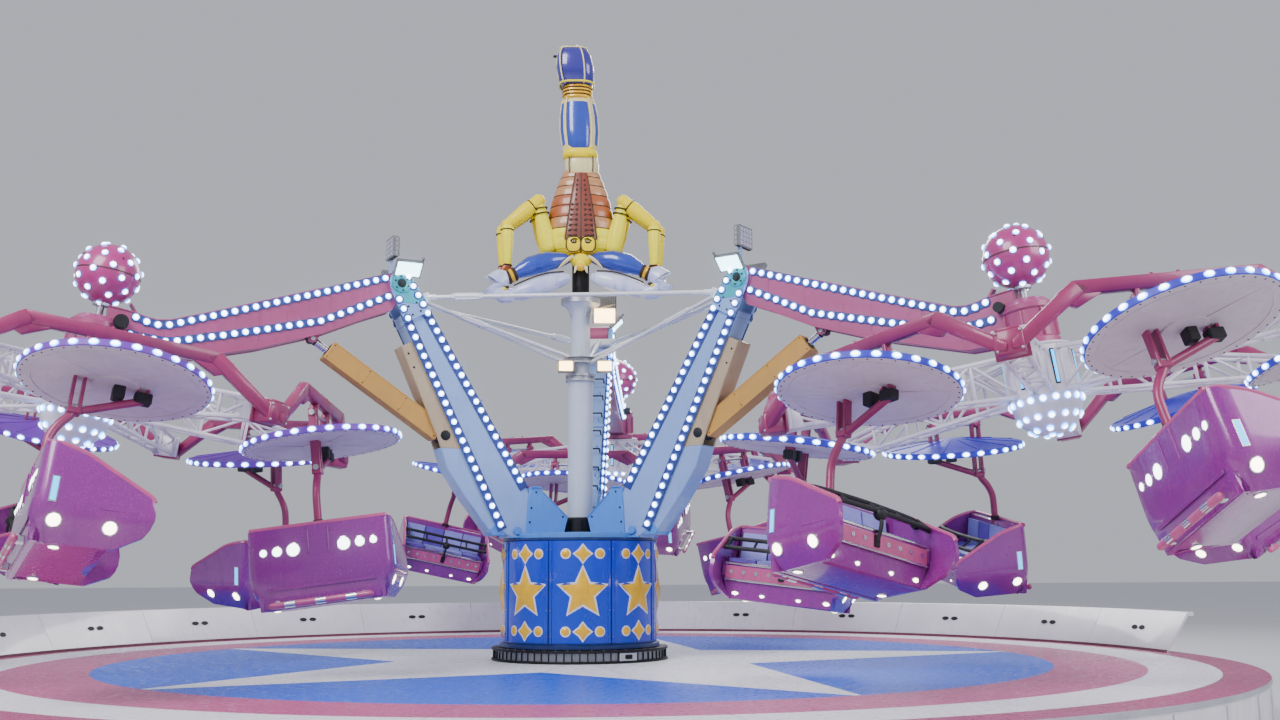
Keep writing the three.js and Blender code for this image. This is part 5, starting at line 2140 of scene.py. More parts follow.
        rod.tube(head - way * 0.062, head - way * 0.04, 0.0465, Finish.DARK_STEEL, 24)
        return cover.mesh("ram cover", self.paints), rod.mesh("ram rod", self.paints)


@dataclass
class Spider:
    """One spider: hub, studded dome, lattice arms and the ring of bridge beams."""

    paints: Finishes
    repeat: Repeater
    arms: int = 6
    arm_start: float = 0.29
    arm_end: float = 2.71
    half_width: float = 0.095
    bays: int = 5
    beam_span: float = 0.845
    beam_height: float = 0.42

    def build(self) -> None:
        """Makes the three spiders."""
        hub = self.hub().mesh("hub", self.paints)
        arms = self.repeat.around(self.arm(), self.arms, self.paints[Finish.SPIDER])
        dome_lamps = self.dome_lamps()
        beams = self.repeat.around(self.beam(), self.arms, self.paints[Finish.BEAM], 30)
        feet = self.repeat.around(self.foot(), self.arms, self.paints[Finish.BEAM])
        studs = self.beam_bolts()
        for side in Side:
            label, wheel, body = side.label, side.wheel, "spider_" + side.label
            put(hub, "hub_" + label, body, wheel, ["spider_" + label])
            put(arms, "lattice_arms_" + label, body, wheel)
            put(dome_lamps, "dome_lamps_" + label, body, wheel)
            put(beams, "bridge_beams_" + label, body, wheel, ["bridge_ring_" + label])
            put(feet, "beam_feet_" + label, body, wheel)
            put(studs, "beam_bolts_" + label, body, wheel)

    def hub(self) -> Shape:
        """The flared hub with its ribs, lit strips and dome.

        Returns:
            The shape.
        """
        shape = Shape(Finish.SPIDER)
        dome = [
            (0, -0.37), (0.1, -0.358), (0.2, -0.318), (0.28, -0.24), (0.33, -0.14), (0.352, -0.03),
            (0.358, 0.0), (0.3, 0.02), (0, 0.02),
        ]
        drum = [
            (0, -0.005), (0.36, -0.005), (0.365, 0.005), (0.36, 0.02), (0.34, 0.03), (0.33, 0.5),
            (0.345, 0.515), (0.345, 0.53), (0.12, 0.53), (0.12, 0.5396), (0, 0.5396),
        ]
        for profile in (dome, drum):
            shape.lathe(profile)
        for i in range(12):
            place = turn(i * 30 + 15)
            shape.slab([(0.31, 0.02), (0.362, 0.02), (0.35, 0.5), (0.31, 0.5)], -0.008, 0.008, place=place)
        for i in range(6):
            place = turn(i * 60 + 30)
            shape.block((0.02, 0.05, 0.36), (0.338, 0, 0.27), Finish.DARK_STEEL, 0.006, place)
            shape.block((0.012, 0.032, 0.33), (0.35, 0, 0.27), Finish.BLUE_LAMP, place=place)
        return shape

    def arm(self) -> Shape:
        """A lattice arm: twin chords above and below, posts, diagonals and an end plate.

        Returns:
            The shape.
        """
        shape = Shape()
        a, b, w = self.arm_start, self.arm_end, self.half_width

        def top(r: float) -> float:
            """The top chord's height at a radius."""
            return 0.465 - (r - a) * 0.30 / (b - a)

        def low(r: float) -> float:
            """The low chord's height at a radius."""
            return 0.04 - (r - a) * 0.058 / (b - a)

        stations = [a + (b - a) * i / self.bays for i in range(self.bays + 1)]
        size = 0.04
        for y in (-w, w):
            for line in (top, low):
                shape.bar((a, y, line(a)), (b, y, line(b)), size, size, bevel=0.006)
            for i, r in enumerate(stations[1:]):
                shape.bar((r, y, low(r)), (r, y, top(r)), 0.028, 0.028, bevel=0.003)
                p = stations[i]
                ends = ((p, top(p)), (r, low(r))) if i % 2 else ((p, low(p)), (r, top(r)))
                shape.bar(
                    (ends[0][0], y, ends[0][1]), (ends[1][0], y, ends[1][1]), 0.026, 0.026, bevel=0.003,
                )
        for i, r in enumerate(stations):
            for line in (top, low):
                shape.bar((r, -w, line(r)), (r, w, line(r)), 0.028, 0.028, bevel=0.003)
                if i and line is low:
                    p = stations[i - 1]
                    s = 1 if i % 2 else -1
                    shape.bar((p, -w * s, line(p)), (r, w * s, line(r)), 0.022, 0.022, bevel=0.003)
        shape.block((0.035, 0.3, 0.25), (b - 0.008, 0, 0.075), bevel=0.008)
        for y in (-0.12, 0.12):
            gusset = [(b - 0.16, -0.03), (b - 0.02, -0.05), (b - 0.02, 0.2), (b - 0.1, 0.19)]
            shape.slab(gusset, y - 0.006, y + 0.006)
        return shape

    def foot(self) -> Shape:
        """The foot block that ties two beams to an arm's end.

        Returns:
            The shape.
        """
        shape = Shape()
        shape.block((0.22, 0.24, 0.2), (2.8353, 0, 0.04), bevel=0.012)
        shape.block((0.02, 0.29, 0.24), (2.731, 0, 0.05))
        shape.block((0.16, 0.2, 0.03), (2.84, 0, 0.15), bevel=0.006)
        return shape

    def beam(self) -> Shape:
        """A bridge beam: legs, elbows with gussets, a level box and two pin lugs.

        Returns:
            The shape.
        """
        shape = Shape()
        at, span, h = PIN_RADIUS, self.beam_span, self.beam_height
        end = 2.91 * math.sin(math.pi / 6) - 0.025
        half = 0.045
        level = [(-span + 0.07, h - 0.055), (span - 0.07, h - 0.055), (span, h + 0.065), (-span, h + 0.065)]
        shape.slab(level, at - half, at + half, "x", bevel=0.008)
        for s in BOTH:
            leg = [
                (s * (end + 0.03), -0.03), (s * (end - 0.06), -0.03), (s * (span - 0.07), h - 0.055),
                (s * (span - 0.12), h), (s * span, h + 0.065), (s * (end + 0.03), 0.04),
            ]
            shape.slab(leg, at - half, at + half, "x", bevel=0.008)
            gusset = [
                (s * (span - 0.24), h - 0.055), (s * (span - 0.02), h - 0.16), (s * (span + 0.12), h - 0.1),
                (s * (span + 0.02), h + 0.05),
            ]
            shape.slab(gusset, at - half + 0.006, at + half - 0.006, "x", bevel=0.006)
            elbow = [
                (s * (span - 0.16), h + 0.065), (s * span, h + 0.065), (s * (span + 0.13), h - 0.02),
                (s * (span + 0.13), h - 0.04),
            ]
            shape.slab(elbow, at - half + 0.01, at + half - 0.01, "x")
        for y in (-0.3, 0.23):
            lug = [
                (y - 0.02, h - 0.05), (y + 0.02, h - 0.05), (y + 0.02, 0.25), (y + 0.014, 0.225),
                (y - 0.014, 0.225), (y - 0.02, 0.25),
            ]
            shape.slab(lug, at - half, at + half, "x")
            shape.tube((at, y - 0.028, PIN_HEIGHT), (at, y + 0.028, PIN_HEIGHT), 0.048, sides=20)
        for y in (-0.12, 0.12):
            shape.tube((at, y, h + 0.06), (at, y, h + 0.085), 0.016, sides=8)
        return shape

    def dome_lamps(self) -> bpy.types.Mesh:
        """Lamp caps in four rings on the dome.

        Returns:
            The mesh.
        """
        points, aims = [], []
        rings = (
            (0.353, -0.035, 18, -0.25), (0.302, -0.2, 14, -0.75), (0.205, -0.315, 9, -1.4),
            (0.07, -0.362, 3, -4),
        )
        for radius, z, count, rise in rings:
            for i in range(count):
                a = 2 * math.pi * (i + 0.5 * (count % 2)) / count
                points.append((radius * math.cos(a), radius * math.sin(a), z))
                aims.append((math.cos(a), math.sin(a), rise))
        return self.repeat.scatter(
            points, aims, Radius=0.036, Height=0.026, Sides=10, Finish=self.paints[Finish.WHITE_LAMP],
        )

    def beam_bolts(self) -> bpy.types.Mesh:
        """Bolt heads on the end plates and the hub's lid.

        Returns:
            The mesh.
        """
        points, aims = [], []
        for i in range(self.arms):
            a = i * math.pi / 3
            for y in (-0.1, 0.1):
                for z in (-0.03, 0.12):
                    points.append(Vector((2.948, y, z)))
                    points[-1].rotate(Matrix.Rotation(a, 3, "Z"))
                    aims.append((math.cos(a), math.sin(a), 0))
        return self.repeat.scatter(
            points, aims, Radius=0.014, Height=0.012, Sides=6, Finish=self.paints[Finish.TIE_ROD_ZINC],
        )


@dataclass
class Gondola:
    """One gondola under its canopy: hanger, canopy, tub, seat pads, lamps and lap bar."""

    paints: Finishes
    repeat: Repeater
    under: float = -0.305
    canopy_radius: float = 0.812
    half_width: float = 0.72
    back: float = -0.528
    lamp_count: int = 30

    wall_top = ((-0.53, -1.162), (-0.26, -1.2), (0.33, -1.5), (0.365, -1.54), (0.385, -1.62))
    wall_low = ((-0.53, -1.968), (0.12, -1.948), (0.33, -1.83), (0.365, -1.77), (0.385, -1.7))

    def build(self) -> None:
        """Makes the eighteen gondolas from one set of meshes."""
        paints = self.paints
        blue, purple = (
            self.canopy(top).mesh("canopy", paints)
            for top in (Finish.CANOPY_TOP_BLUE, Finish.CANOPY_TOP_PURPLE)
        )
        tops = {Side.REAR: blue, Side.RIGHT: blue, Side.LEFT: purple}
        rim_lamps = self.rim_lamps()
        values = {"Radius": 0.009, "Height": 0.006, "Sides": 6, "Finish": paints[Finish.DARK_STEEL]}
        rivets = self.repeat.circle(self.canopy_radius - 0.035, self.under, 42, -1, **values)
        hanger = self.hanger().mesh("hanger", paints)
        shell = self.shell()
        trim = self.trim().mesh("trim", paints)
        pads = self.pads()
        bar = self.lap_bar().mesh("lap bar", paints)
        rear_lamps = self.lamps(self.rear_spots(), Finish.FLOOD_PANEL)
        head_lamps = self.lamps(self.low_spots(), Finish.WARM_LAMP)
        for side in Side:
            for i in range(6):
                end = f"{side.label}_{i + 1}"
                body, place = "gondola_" + end, side.gondola(i)
                put(tops[side], "canopy_" + end, body, place, ["hanger_" + end])
                put(rim_lamps, "canopy_lamps_" + end, body, place)
                put(rivets, "canopy_rivets_" + end, body, place)
                put(hanger, "hanger_frame_" + end, body, place)
                put(shell, "tub_shell_" + end, body, place, ["gondola_" + end])
                put(trim, "tub_trim_" + end, body, place)
                put(pads, "seat_pads_" + end, body, place)
                put(bar, "lap_bar_" + end, body, place)
                put(rear_lamps, "tub_rear_lamps_" + end, body, place)
                put(head_lamps, "tub_head_lamps_" + end, body, place)

    def canopy(self, top: Finish) -> Shape:
        """The round canopy: shallow cone, rim band, lining with seams, and mounting plate.

        Args:
            top: The finish of its upper side.

        Returns:
            The shape.
        """
        lining = Finish.CANOPY_LINING
        shape = Shape(top)
        u, r = self.under, self.canopy_radius
        profile = [
            (0, u + 0.012), (r - 0.07, u + 0.004), (r - 0.03, u), (r - 0.008, u), (r, u + 0.008),
            (r, u + 0.062), (r - 0.008, u + 0.07), (r - 0.05, u + 0.076), (0.16, u + 0.15),
            (0.12, u + 0.158), (0, u + 0.16),
        ]
        shape.lathe(profile, 60, bands=[lining] * 3 + [top] * 8)
        rise = math.degrees(math.atan2(0.078, r - 0.16))
        for i in range(12):
            place = turn(i * 30) @ move(0.16, 0, u + 0.152) @ turn(rise, "Y")
            shape.block((r - 0.2, 0.02, 0.008), ((r - 0.2) / 2, 0, 0), bevel=0.003, place=place)
        for i in range(4):
            shape.block(
                (r - 0.1, 0.012, 0.006), ((r - 0.1) / 2, 0, u + 0.004), lining, 0.002, turn(i * 90 + 35),
            )
        seam = [(r - 0.115, u - 0.003), (r - 0.1, u - 0.003), (r - 0.1, u + 0.008), (r - 0.115, u + 0.008)]
        shape.lathe(seam, 60, lining)
        shape.lathe([(0, u - 0.008), (0.2, u - 0.008), (0.2, u + 0.01), (0, u + 0.01)], 24, lining)
        return shape

    def rim_lamps(self) -> bpy.types.Mesh:
        """Long lamp caps round the rim band.

        Returns:
            The mesh.
        """
        r, z = self.canopy_radius, self.under + 0.036
        cap = Shape()
        cap.ball((0.022, 0.043, 0.027), (r, 0, z), sides=10, rings=6)
        mesh = self.repeat.around(cap, self.lamp_count, self.paints[Finish.WHITE_LAMP])
        core = mesh.attributes.new("core", "FLOAT", "POINT")
        values = [max(0.0, (math.hypot(v.co.x, v.co.y) - r) / 0.022) for v in mesh.vertices]
        core.data.foreach_set("value", values)
        return mesh

    def hanger(self) -> Shape:
        """The twin posts, swing pin, stay, damper blocks and the tube into the tub's back.

        Returns:
            The shape.
        """
        shape = Shape(Finish.BEAM)
        u = self.under
        rear, front = -0.3, 0.23
        half = 0.045
        for y, low in ((rear, u - 0.3), (front, u - 0.1)):
            outline = [
                (-0.04, 0.045), (0.04, 0.045), (half, -0.3), (half, low), (-half, low), (-half, -0.3),
            ]
            for s in (-0.041, 0.041):
                shape.slab(outline, y + s - 0.014, y + s + 0.014)
        shape.tube((0, rear - 0.07, 0), (0, front + 0.07, 0), 0.02, Finish.TIE_ROD_ZINC)
        for y in (rear - 0.075, front + 0.06):
            shape.tube((0, y, 0), (0, y + 0.015, 0), 0.034, Finish.TIE_ROD_ZINC, 6)
        shape.block((0.1, 0.12, 0.06), (0, rear, u - 0.31), bevel=0.01)
        shape.tube((0, rear - 0.08, u - 0.27), (0, rear + 0.08, u - 0.27), 0.03, Finish.TIE_ROD_ZINC)
        shape.tube((0, front + 0.02, u - 0.09), (0, rear + 0.01, u - 0.31), 0.036)
        shape.block((0.11, 0.15, 0.1), (0, front + 0.01, u - 0.075), Finish.BLACK_RUBBER, 0.012)
        shape.block((0.13, 0.1, 0.13), (0, 0.03, u - 0.06), Finish.BLACK_RUBBER, 0.012)
        line = [
            (0, -0.29, -0.585), (0, -0.325, -0.66), (0, -0.395, -0.755), (0, -0.445, -0.87),
            (0, -0.455, -1.0), (0, -0.455, -1.2), (0, -0.455, -1.45),
        ]
        shape.pipe(smooth_path(line, 4), 0.0395, sides=14)
        shape.tube((0, -0.455, -1.13), (0, -0.455, -1.175), 0.052, Finish.BLACK_RUBBER, 16)
        return shape

    def edge_heights(self, y: float) -> tuple[float, float]:
        """The lowest and highest point of the side wall at y.

        Args:
            y: The place along the tub.

        Returns:
            The two heights.
        """
        found = []
        for line in (self.wall_low, self.wall_top):
            for (ay, az), (by, bz) in zip(line, line[1:]):
                if y <= by or (by, bz) == line[-1]:
                    t = min(1.0, max(0.0, (y - ay) / (by - ay)))
                    found.append(az + (bz - az) * t)
                    break
        return found[0], found[1]

    def shell(self) -> bpy.types.Mesh:
        """The moulded tub: a wall round three sides with a tucked belly, and the bench.

        Returns:
            The mesh.
        """
        shape = Shape(Finish.GELCOAT)
        w, b = self.half_width - 0.002, self.back
        corner = 0.1
        plan = [(w, y) for y in (0.385, 0.365, 0.33, 0.25, 0.12, -0.05, -0.2, -0.33, b + corner)]
        for a in (math.pi / 6, math.pi / 3, math.pi / 2):
            plan.append((w - corner + corner * math.cos(a), b + corner - corner * math.sin(a)))
        plan += [(w * 0.5, b), (0.12, b), (0.1, b)]
        outline = plan + [(-x, y) for x, y in reversed(plan)]
        rows, thick = 11, 0.045
        rings = []
        for x, y in outline:
            low, high = self.edge_heights(y)
            if abs(x) >= w - 1e-6 and y > b + corner - 1e-6:
                inward = Vector((-math.copysign(1, x), 0))
            elif abs(y - b) < 1e-6:
                inward = Vector((0, 1))
            else:
                inward = Vector((-x, 0.1 - y)).normalized()
            deep = 0.13 if abs(x) > w - corner else 0.03
            outer, inner = [], []
            for k in range(rows):
                t = k / (rows - 1)
                z = low + (high - low) * t
                tuck = deep * max(0.0, (-1.7 - z) / 0.27) ** 1.25
                swell = 0.006 * math.sin(math.pi * t)
                p = Vector((x, y)) + inward * (tuck + 0.006 - swell)
                outer.append((p.x, p.y, z))
                q = p + inward * thick
                inner.append((q.x, q.y, z))
            rings.append(outer + inner[::-1])
        shape.loft(rings)
        w2 = self.half_width - 0.05
        bench = [
            (-0.51, -1.962), (0.02, -1.952), (0.075, -1.925), (0.11, -1.62), (0.112, -1.575),
            (0.08, -1.556), (-0.37, -1.575), (-0.42, -1.25), (-0.43, -1.178), (-0.51, -1.178),
        ]
        low = [(-w2, -1.69), (-w2 + 0.09, -1.95), (w2 - 0.09, -1.95), (w2, -1.69)]
        shape.slab(bench[:3] + [(0.09, -1.7), (-0.51, -1.7)], -w2 + 0.09, w2 - 0.09, "x", bevel=0.01)
        shape.slab(low, -0.5, 0.088, bevel=0.01)
        shape.slab([(-0.51, -1.72), (0.1, -1.72), *bench[3:]], -w2, w2, "x", bevel=0.012)
        rim = [(-0.11, b), (0.11, b), (0.1, b + 0.02), (-0.1, b + 0.02)]
        shape.slab(rim, -1.47, -1.17, "z")
        return shape.mesh("tub", self.paints, sharp=38)

    def trim(self) -> Shape:
        """The rail along the top edge, kick panel trim, bumper and lit strips.

        Returns:
            The shape.
        """
        shape = Shape(Finish.PINK_TRIM)
        w, b = self.half_width - 0.026, self.back + 0.026
        rail = [(w, y) for y in (0.366, 0.33, 0.2, 0.0, -0.2, b + 0.12)]
        rail += [(w - 0.015, b + 0.06), (w - 0.06, b + 0.012), (w - 0.12, b)]
        line = []
        for x, y in rail + [(-x, y) for x, y in reversed(rail)]:
            line.append((x, y, self.edge_heights(y)[1] + 0.002))
        shape.pipe(smooth_path(line, 3), 0.024)
        shape.block((2 * w - 0.14, 0.012, 0.16), (0, 0.105, -1.66), bevel=0.005)
        shape.block((2 * w - 0.14, 0.02, 0.02), (0, 0.118, -1.575), Finish.CHROMED_STEEL)
        shape.block((2 * w - 0.14, 0.02, 0.02), (0, 0.11, -1.745), Finish.CHROMED_STEEL)
        for k in range(9):
            shape.tube(
                (-0.56 + 0.14 * k, 0.108, -1.66), (-0.56 + 0.14 * k, 0.116, -1.66), 0.022,
                Finish.CHROMED_STEEL,
            )
        for s in BOTH:
            edge = s * (self.half_width - 0.002)
            shape.block((0.008, 0.05, 0.2), (edge, -0.4, -1.56), Finish.BLUE_LAMP, 0.003)
            shape.block((0.006, 0.066, 0.216), (edge, -0.4, -1.56), Finish.CHROMED_STEEL, 0.003)
            shape.block((0.006, 0.3, 0.02), (edge, 0.1, -1.66), Finish.GELCOAT, 0.003)
            shape.block(
                (0.06, 0.1, 0.066), (s * 0.42, self.back - 0.026, -1.92), Finish.CHROMED_STEEL, 0.01,
            )
            shape.ball((0.05, 0.034, 0.034), (s * 0.47, self.back - 0.067, -1.93), sides=12, rings=8)
        shape.tube((-0.47, self.back - 0.067, -1.93), (0.47, self.back - 0.067, -1.93), 0.034, sides=14)
        for x in (-0.3, 0.0, 0.3):
            shape.tube(
                (x - 0.05, self.back - 0.067, -1.93), (x + 0.05, self.back - 0.067, -1.93), 0.0348,
                Finish.CHROMED_STEEL, 14,
            )
        shape.block((2 * w - 0.3, 0.008, 0.03), (0, self.back - 0.002, -1.77), Finish.GELCOAT, 0.003)
        for s in BOTH:
            shape.bar(
                (s * 0.1, b - 0.03, -1.2), (s * 0.1, b - 0.03, -1.46), 0.012, 0.012, Finish.GELCOAT, 0.003,
            )
        return shape

    def pads(self) -> bpy.types.Mesh:
        """Two rows of four padded squares, swelled by a cloth simulation of one square.

        Returns:
            The mesh.
        """
        square = self.one_pad()
        shape = Shape(Finish.LILAC_VINYL)
        wide = 0.315
        seat = move(0, -0.125, -1.532) @ turn(-2, "X")
        rest = move(0, -0.372, -1.385) @ turn(98, "X")
        for row, place in enumerate((seat, rest)):
            for i in range(4):
                base = len(shape.points)
                at = place @ move((i - 1.5) * wide, 0, 0)
                shape.points.extend(at @ v.co for v in square.vertices)
                shape.faces.extend([base + k for k in f.vertices] for f in square.polygons)
                mark = shape.mark(Finish.VIOLET_VINYL if (i + row) % 3 == 0 else None)
                shape.marks.extend([mark] * len(square.polygons))
        return shape.mesh("pads", self.paints, sharp=60)

    @staticmethod
    def one_pad() -> bpy.types.Mesh:
        """One square of the seat, pressed out by its stuffing.

        Returns:
            The mesh of the pad.
        """
        part = bmesh.new()
        bmesh.ops.create_cube(part, size=1, matrix=Matrix.Diagonal((0.295, 0.31, 0.034, 1)))
        bmesh.ops.subdivide_edges(part, edges=part.edges[:], cuts=9, use_grid_fill=True)
        mesh = bpy.data.meshes.new("pad")
        part.to_mesh(mesh)
        part.free()
        pad = bpy.data.objects.new("pad", mesh)
        bpy.context.scene.collection.objects.link(pad)
        held = []
        for v in mesh.vertices:
            if v.co.z < -0.0169 or max(abs(v.co.x) / 0.1475, abs(v.co.y) / 0.155) > 0.999:
                held.append(v.index)
        pad.vertex_groups.new(name="held").add(held, 1.0, "REPLACE")
        cloth = pad.modifiers.new("cloth", "CLOTH")
        cloth.settings.use_pressure = True
        cloth.settings.uniform_pressure_force = 4
        cloth.settings.effector_weights.gravity = 0
        cloth.settings.vertex_group_mass = "held"
        scene = bpy.context.scene
        for step in range(1, 21):
            scene.frame_set(step)
        graph = bpy.context.evaluated_depsgraph_get()
        swelled = bpy.data.meshes.new_from_object(pad.evaluated_get(graph))
        cap = 0.016
        for before, after in zip(mesh.vertices, swelled.vertices):
            shift = after.co - before.co
            if shift.length > cap:
                after.co = before.co + shift.normalized() * cap
        scene.frame_set(1)
        bpy.data.objects.remove(pad)
        return swelled

    def lap_bar(self) -> Shape:
        """The closed lap bar: two rails, uprights, the middle post with its ball and foot.

        Returns:
            The shape.
        """
        shape = Shape(Finish.BLACK_RUBBER)
        w = self.half_width - 0.05
        for y, z, reach in ((0.12, -1.41, w), (-0.02, -1.31, w - 0.03)):
            path = [
                (-reach, y - 0.03, z), (-reach * 0.9, y, z), (-reach * 0.5, y + 0.02, z), (0, y + 0.03, z),
                (reach * 0.5, y + 0.02, z), (reach * 0.9, y, z), (reach, y - 0.03, z),
            ]
            shape.pipe(smooth_path(path, 3), 0.023, sides=10)
        for x in (-w + 0.05, -0.33, 0.33, w - 0.05):
            shape.tube((x, 0.13, -1.41), (x, 0.0, -1.31), 0.014, sides=8)
        post = [(0, 0.0, -1.31), (0, 0.13, -1.4), (0, 0.165, -1.5), (0, 0.15, -1.58), (0, 0.12, -1.66)]
        shape.pipe(smooth_path(post, 4), 0.018)
        shape.ball((0.06, 0.06, 0.06), (0, 0.15, -1.43))
        shape.block((0.06, 0.03, 0.1), (0, 0.115, -1.66), Finish.DARK_STEEL, 0.006)
        for s in BOTH:
            shape.tube(
                (s * (w + 0.006), -0.05, -1.33), (s * (w - 0.03), -0.05, -1.33), 0.045, Finish.DARK_STEEL,
                16,
            )
            shape.tube((s * (w - 0.015), -0.05, -1.33), (s * (w - 0.015), 0.09, -1.41), 0.02, sides=8)
        return shape

    def rear_spots(self) -> list[tuple[Vector, Vector, float]]:
        """Where the graded round lamps on the back sit, which way they face, and their radii.

        Returns:
            Each lamp's place, the way that it faces, and its radius.
        """
        spots = []
        for s in BOTH:
            for x, r in ((0.25, 0.062), (0.41, 0.046), (0.545, 0.034)):
                spots.append((Vector((s * x, self.back + 0.004, -1.4)), Vector((0, -1, 0)), r))
        return spots

    def low_spots(self) -> list[tuple[Vector, Vector, float]]:
        """Where the headlights low on the sides and under the belly sit.

        Returns:
            Each lamp's place, the way that it faces, and its radius.
        """
        spots = []
        for s in BOTH:
            wall = self.half_width - 0.012
            for y in (-0.36, 0.06):
                spots.append((Vector((s * (wall - 0.03), y, -1.8)), Vector((s, 0, -0.45)), 0.052))
            spots.append((Vector((s * 0.5, 0.07, -1.9)), Vector((0, 1, -0.6)), 0.044))
            spots.append((Vector((s * 0.2, 0.07, -1.9)), Vector((0, 1, -0.6)), 0.036))
            spots.append((Vector((s * 0.5, -0.3, -1.958)), Vector((0, 0, -1)), 0.04))
        return spots

    def lamps(self, spots: Sequence[tuple[Vector, Vector, float]], lens: Finish) -> bpy.types.Mesh:
        """Round lamps with chromed rims.

        Args:
            spots: Each lamp's place, the way that it faces, and its radius.
            lens: The finish of the lenses.

        Returns:
            The mesh.
        """
        made = Shape(lens)
        for point, aim, size in spots:
            place = aim.to_track_quat("Z", "Y").to_matrix().to_4x4()
            place.translation = point
            lens_line = [
                (0, -0.01), (size, -0.01), (size, 0.004), (size * 0.85, 0.011), (size * 0.45, 0.016),
                (0, 0.018),
            ]
            made.lathe(lens_line, 20, place=place)
            rim = [(size, -0.01), (size + 0.009, -0.01), (size + 0.009, 0.007), (size, 0.01)]
            made.lathe(rim, 20, Finish.CHROMED_STEEL, place)
        mesh = made.mesh("tub lamps", self.paints)
        core = mesh.attributes.new("core", "FLOAT", "POINT")
        core.data.foreach_set("value", [1.0] * len(mesh.vertices))
        return mesh


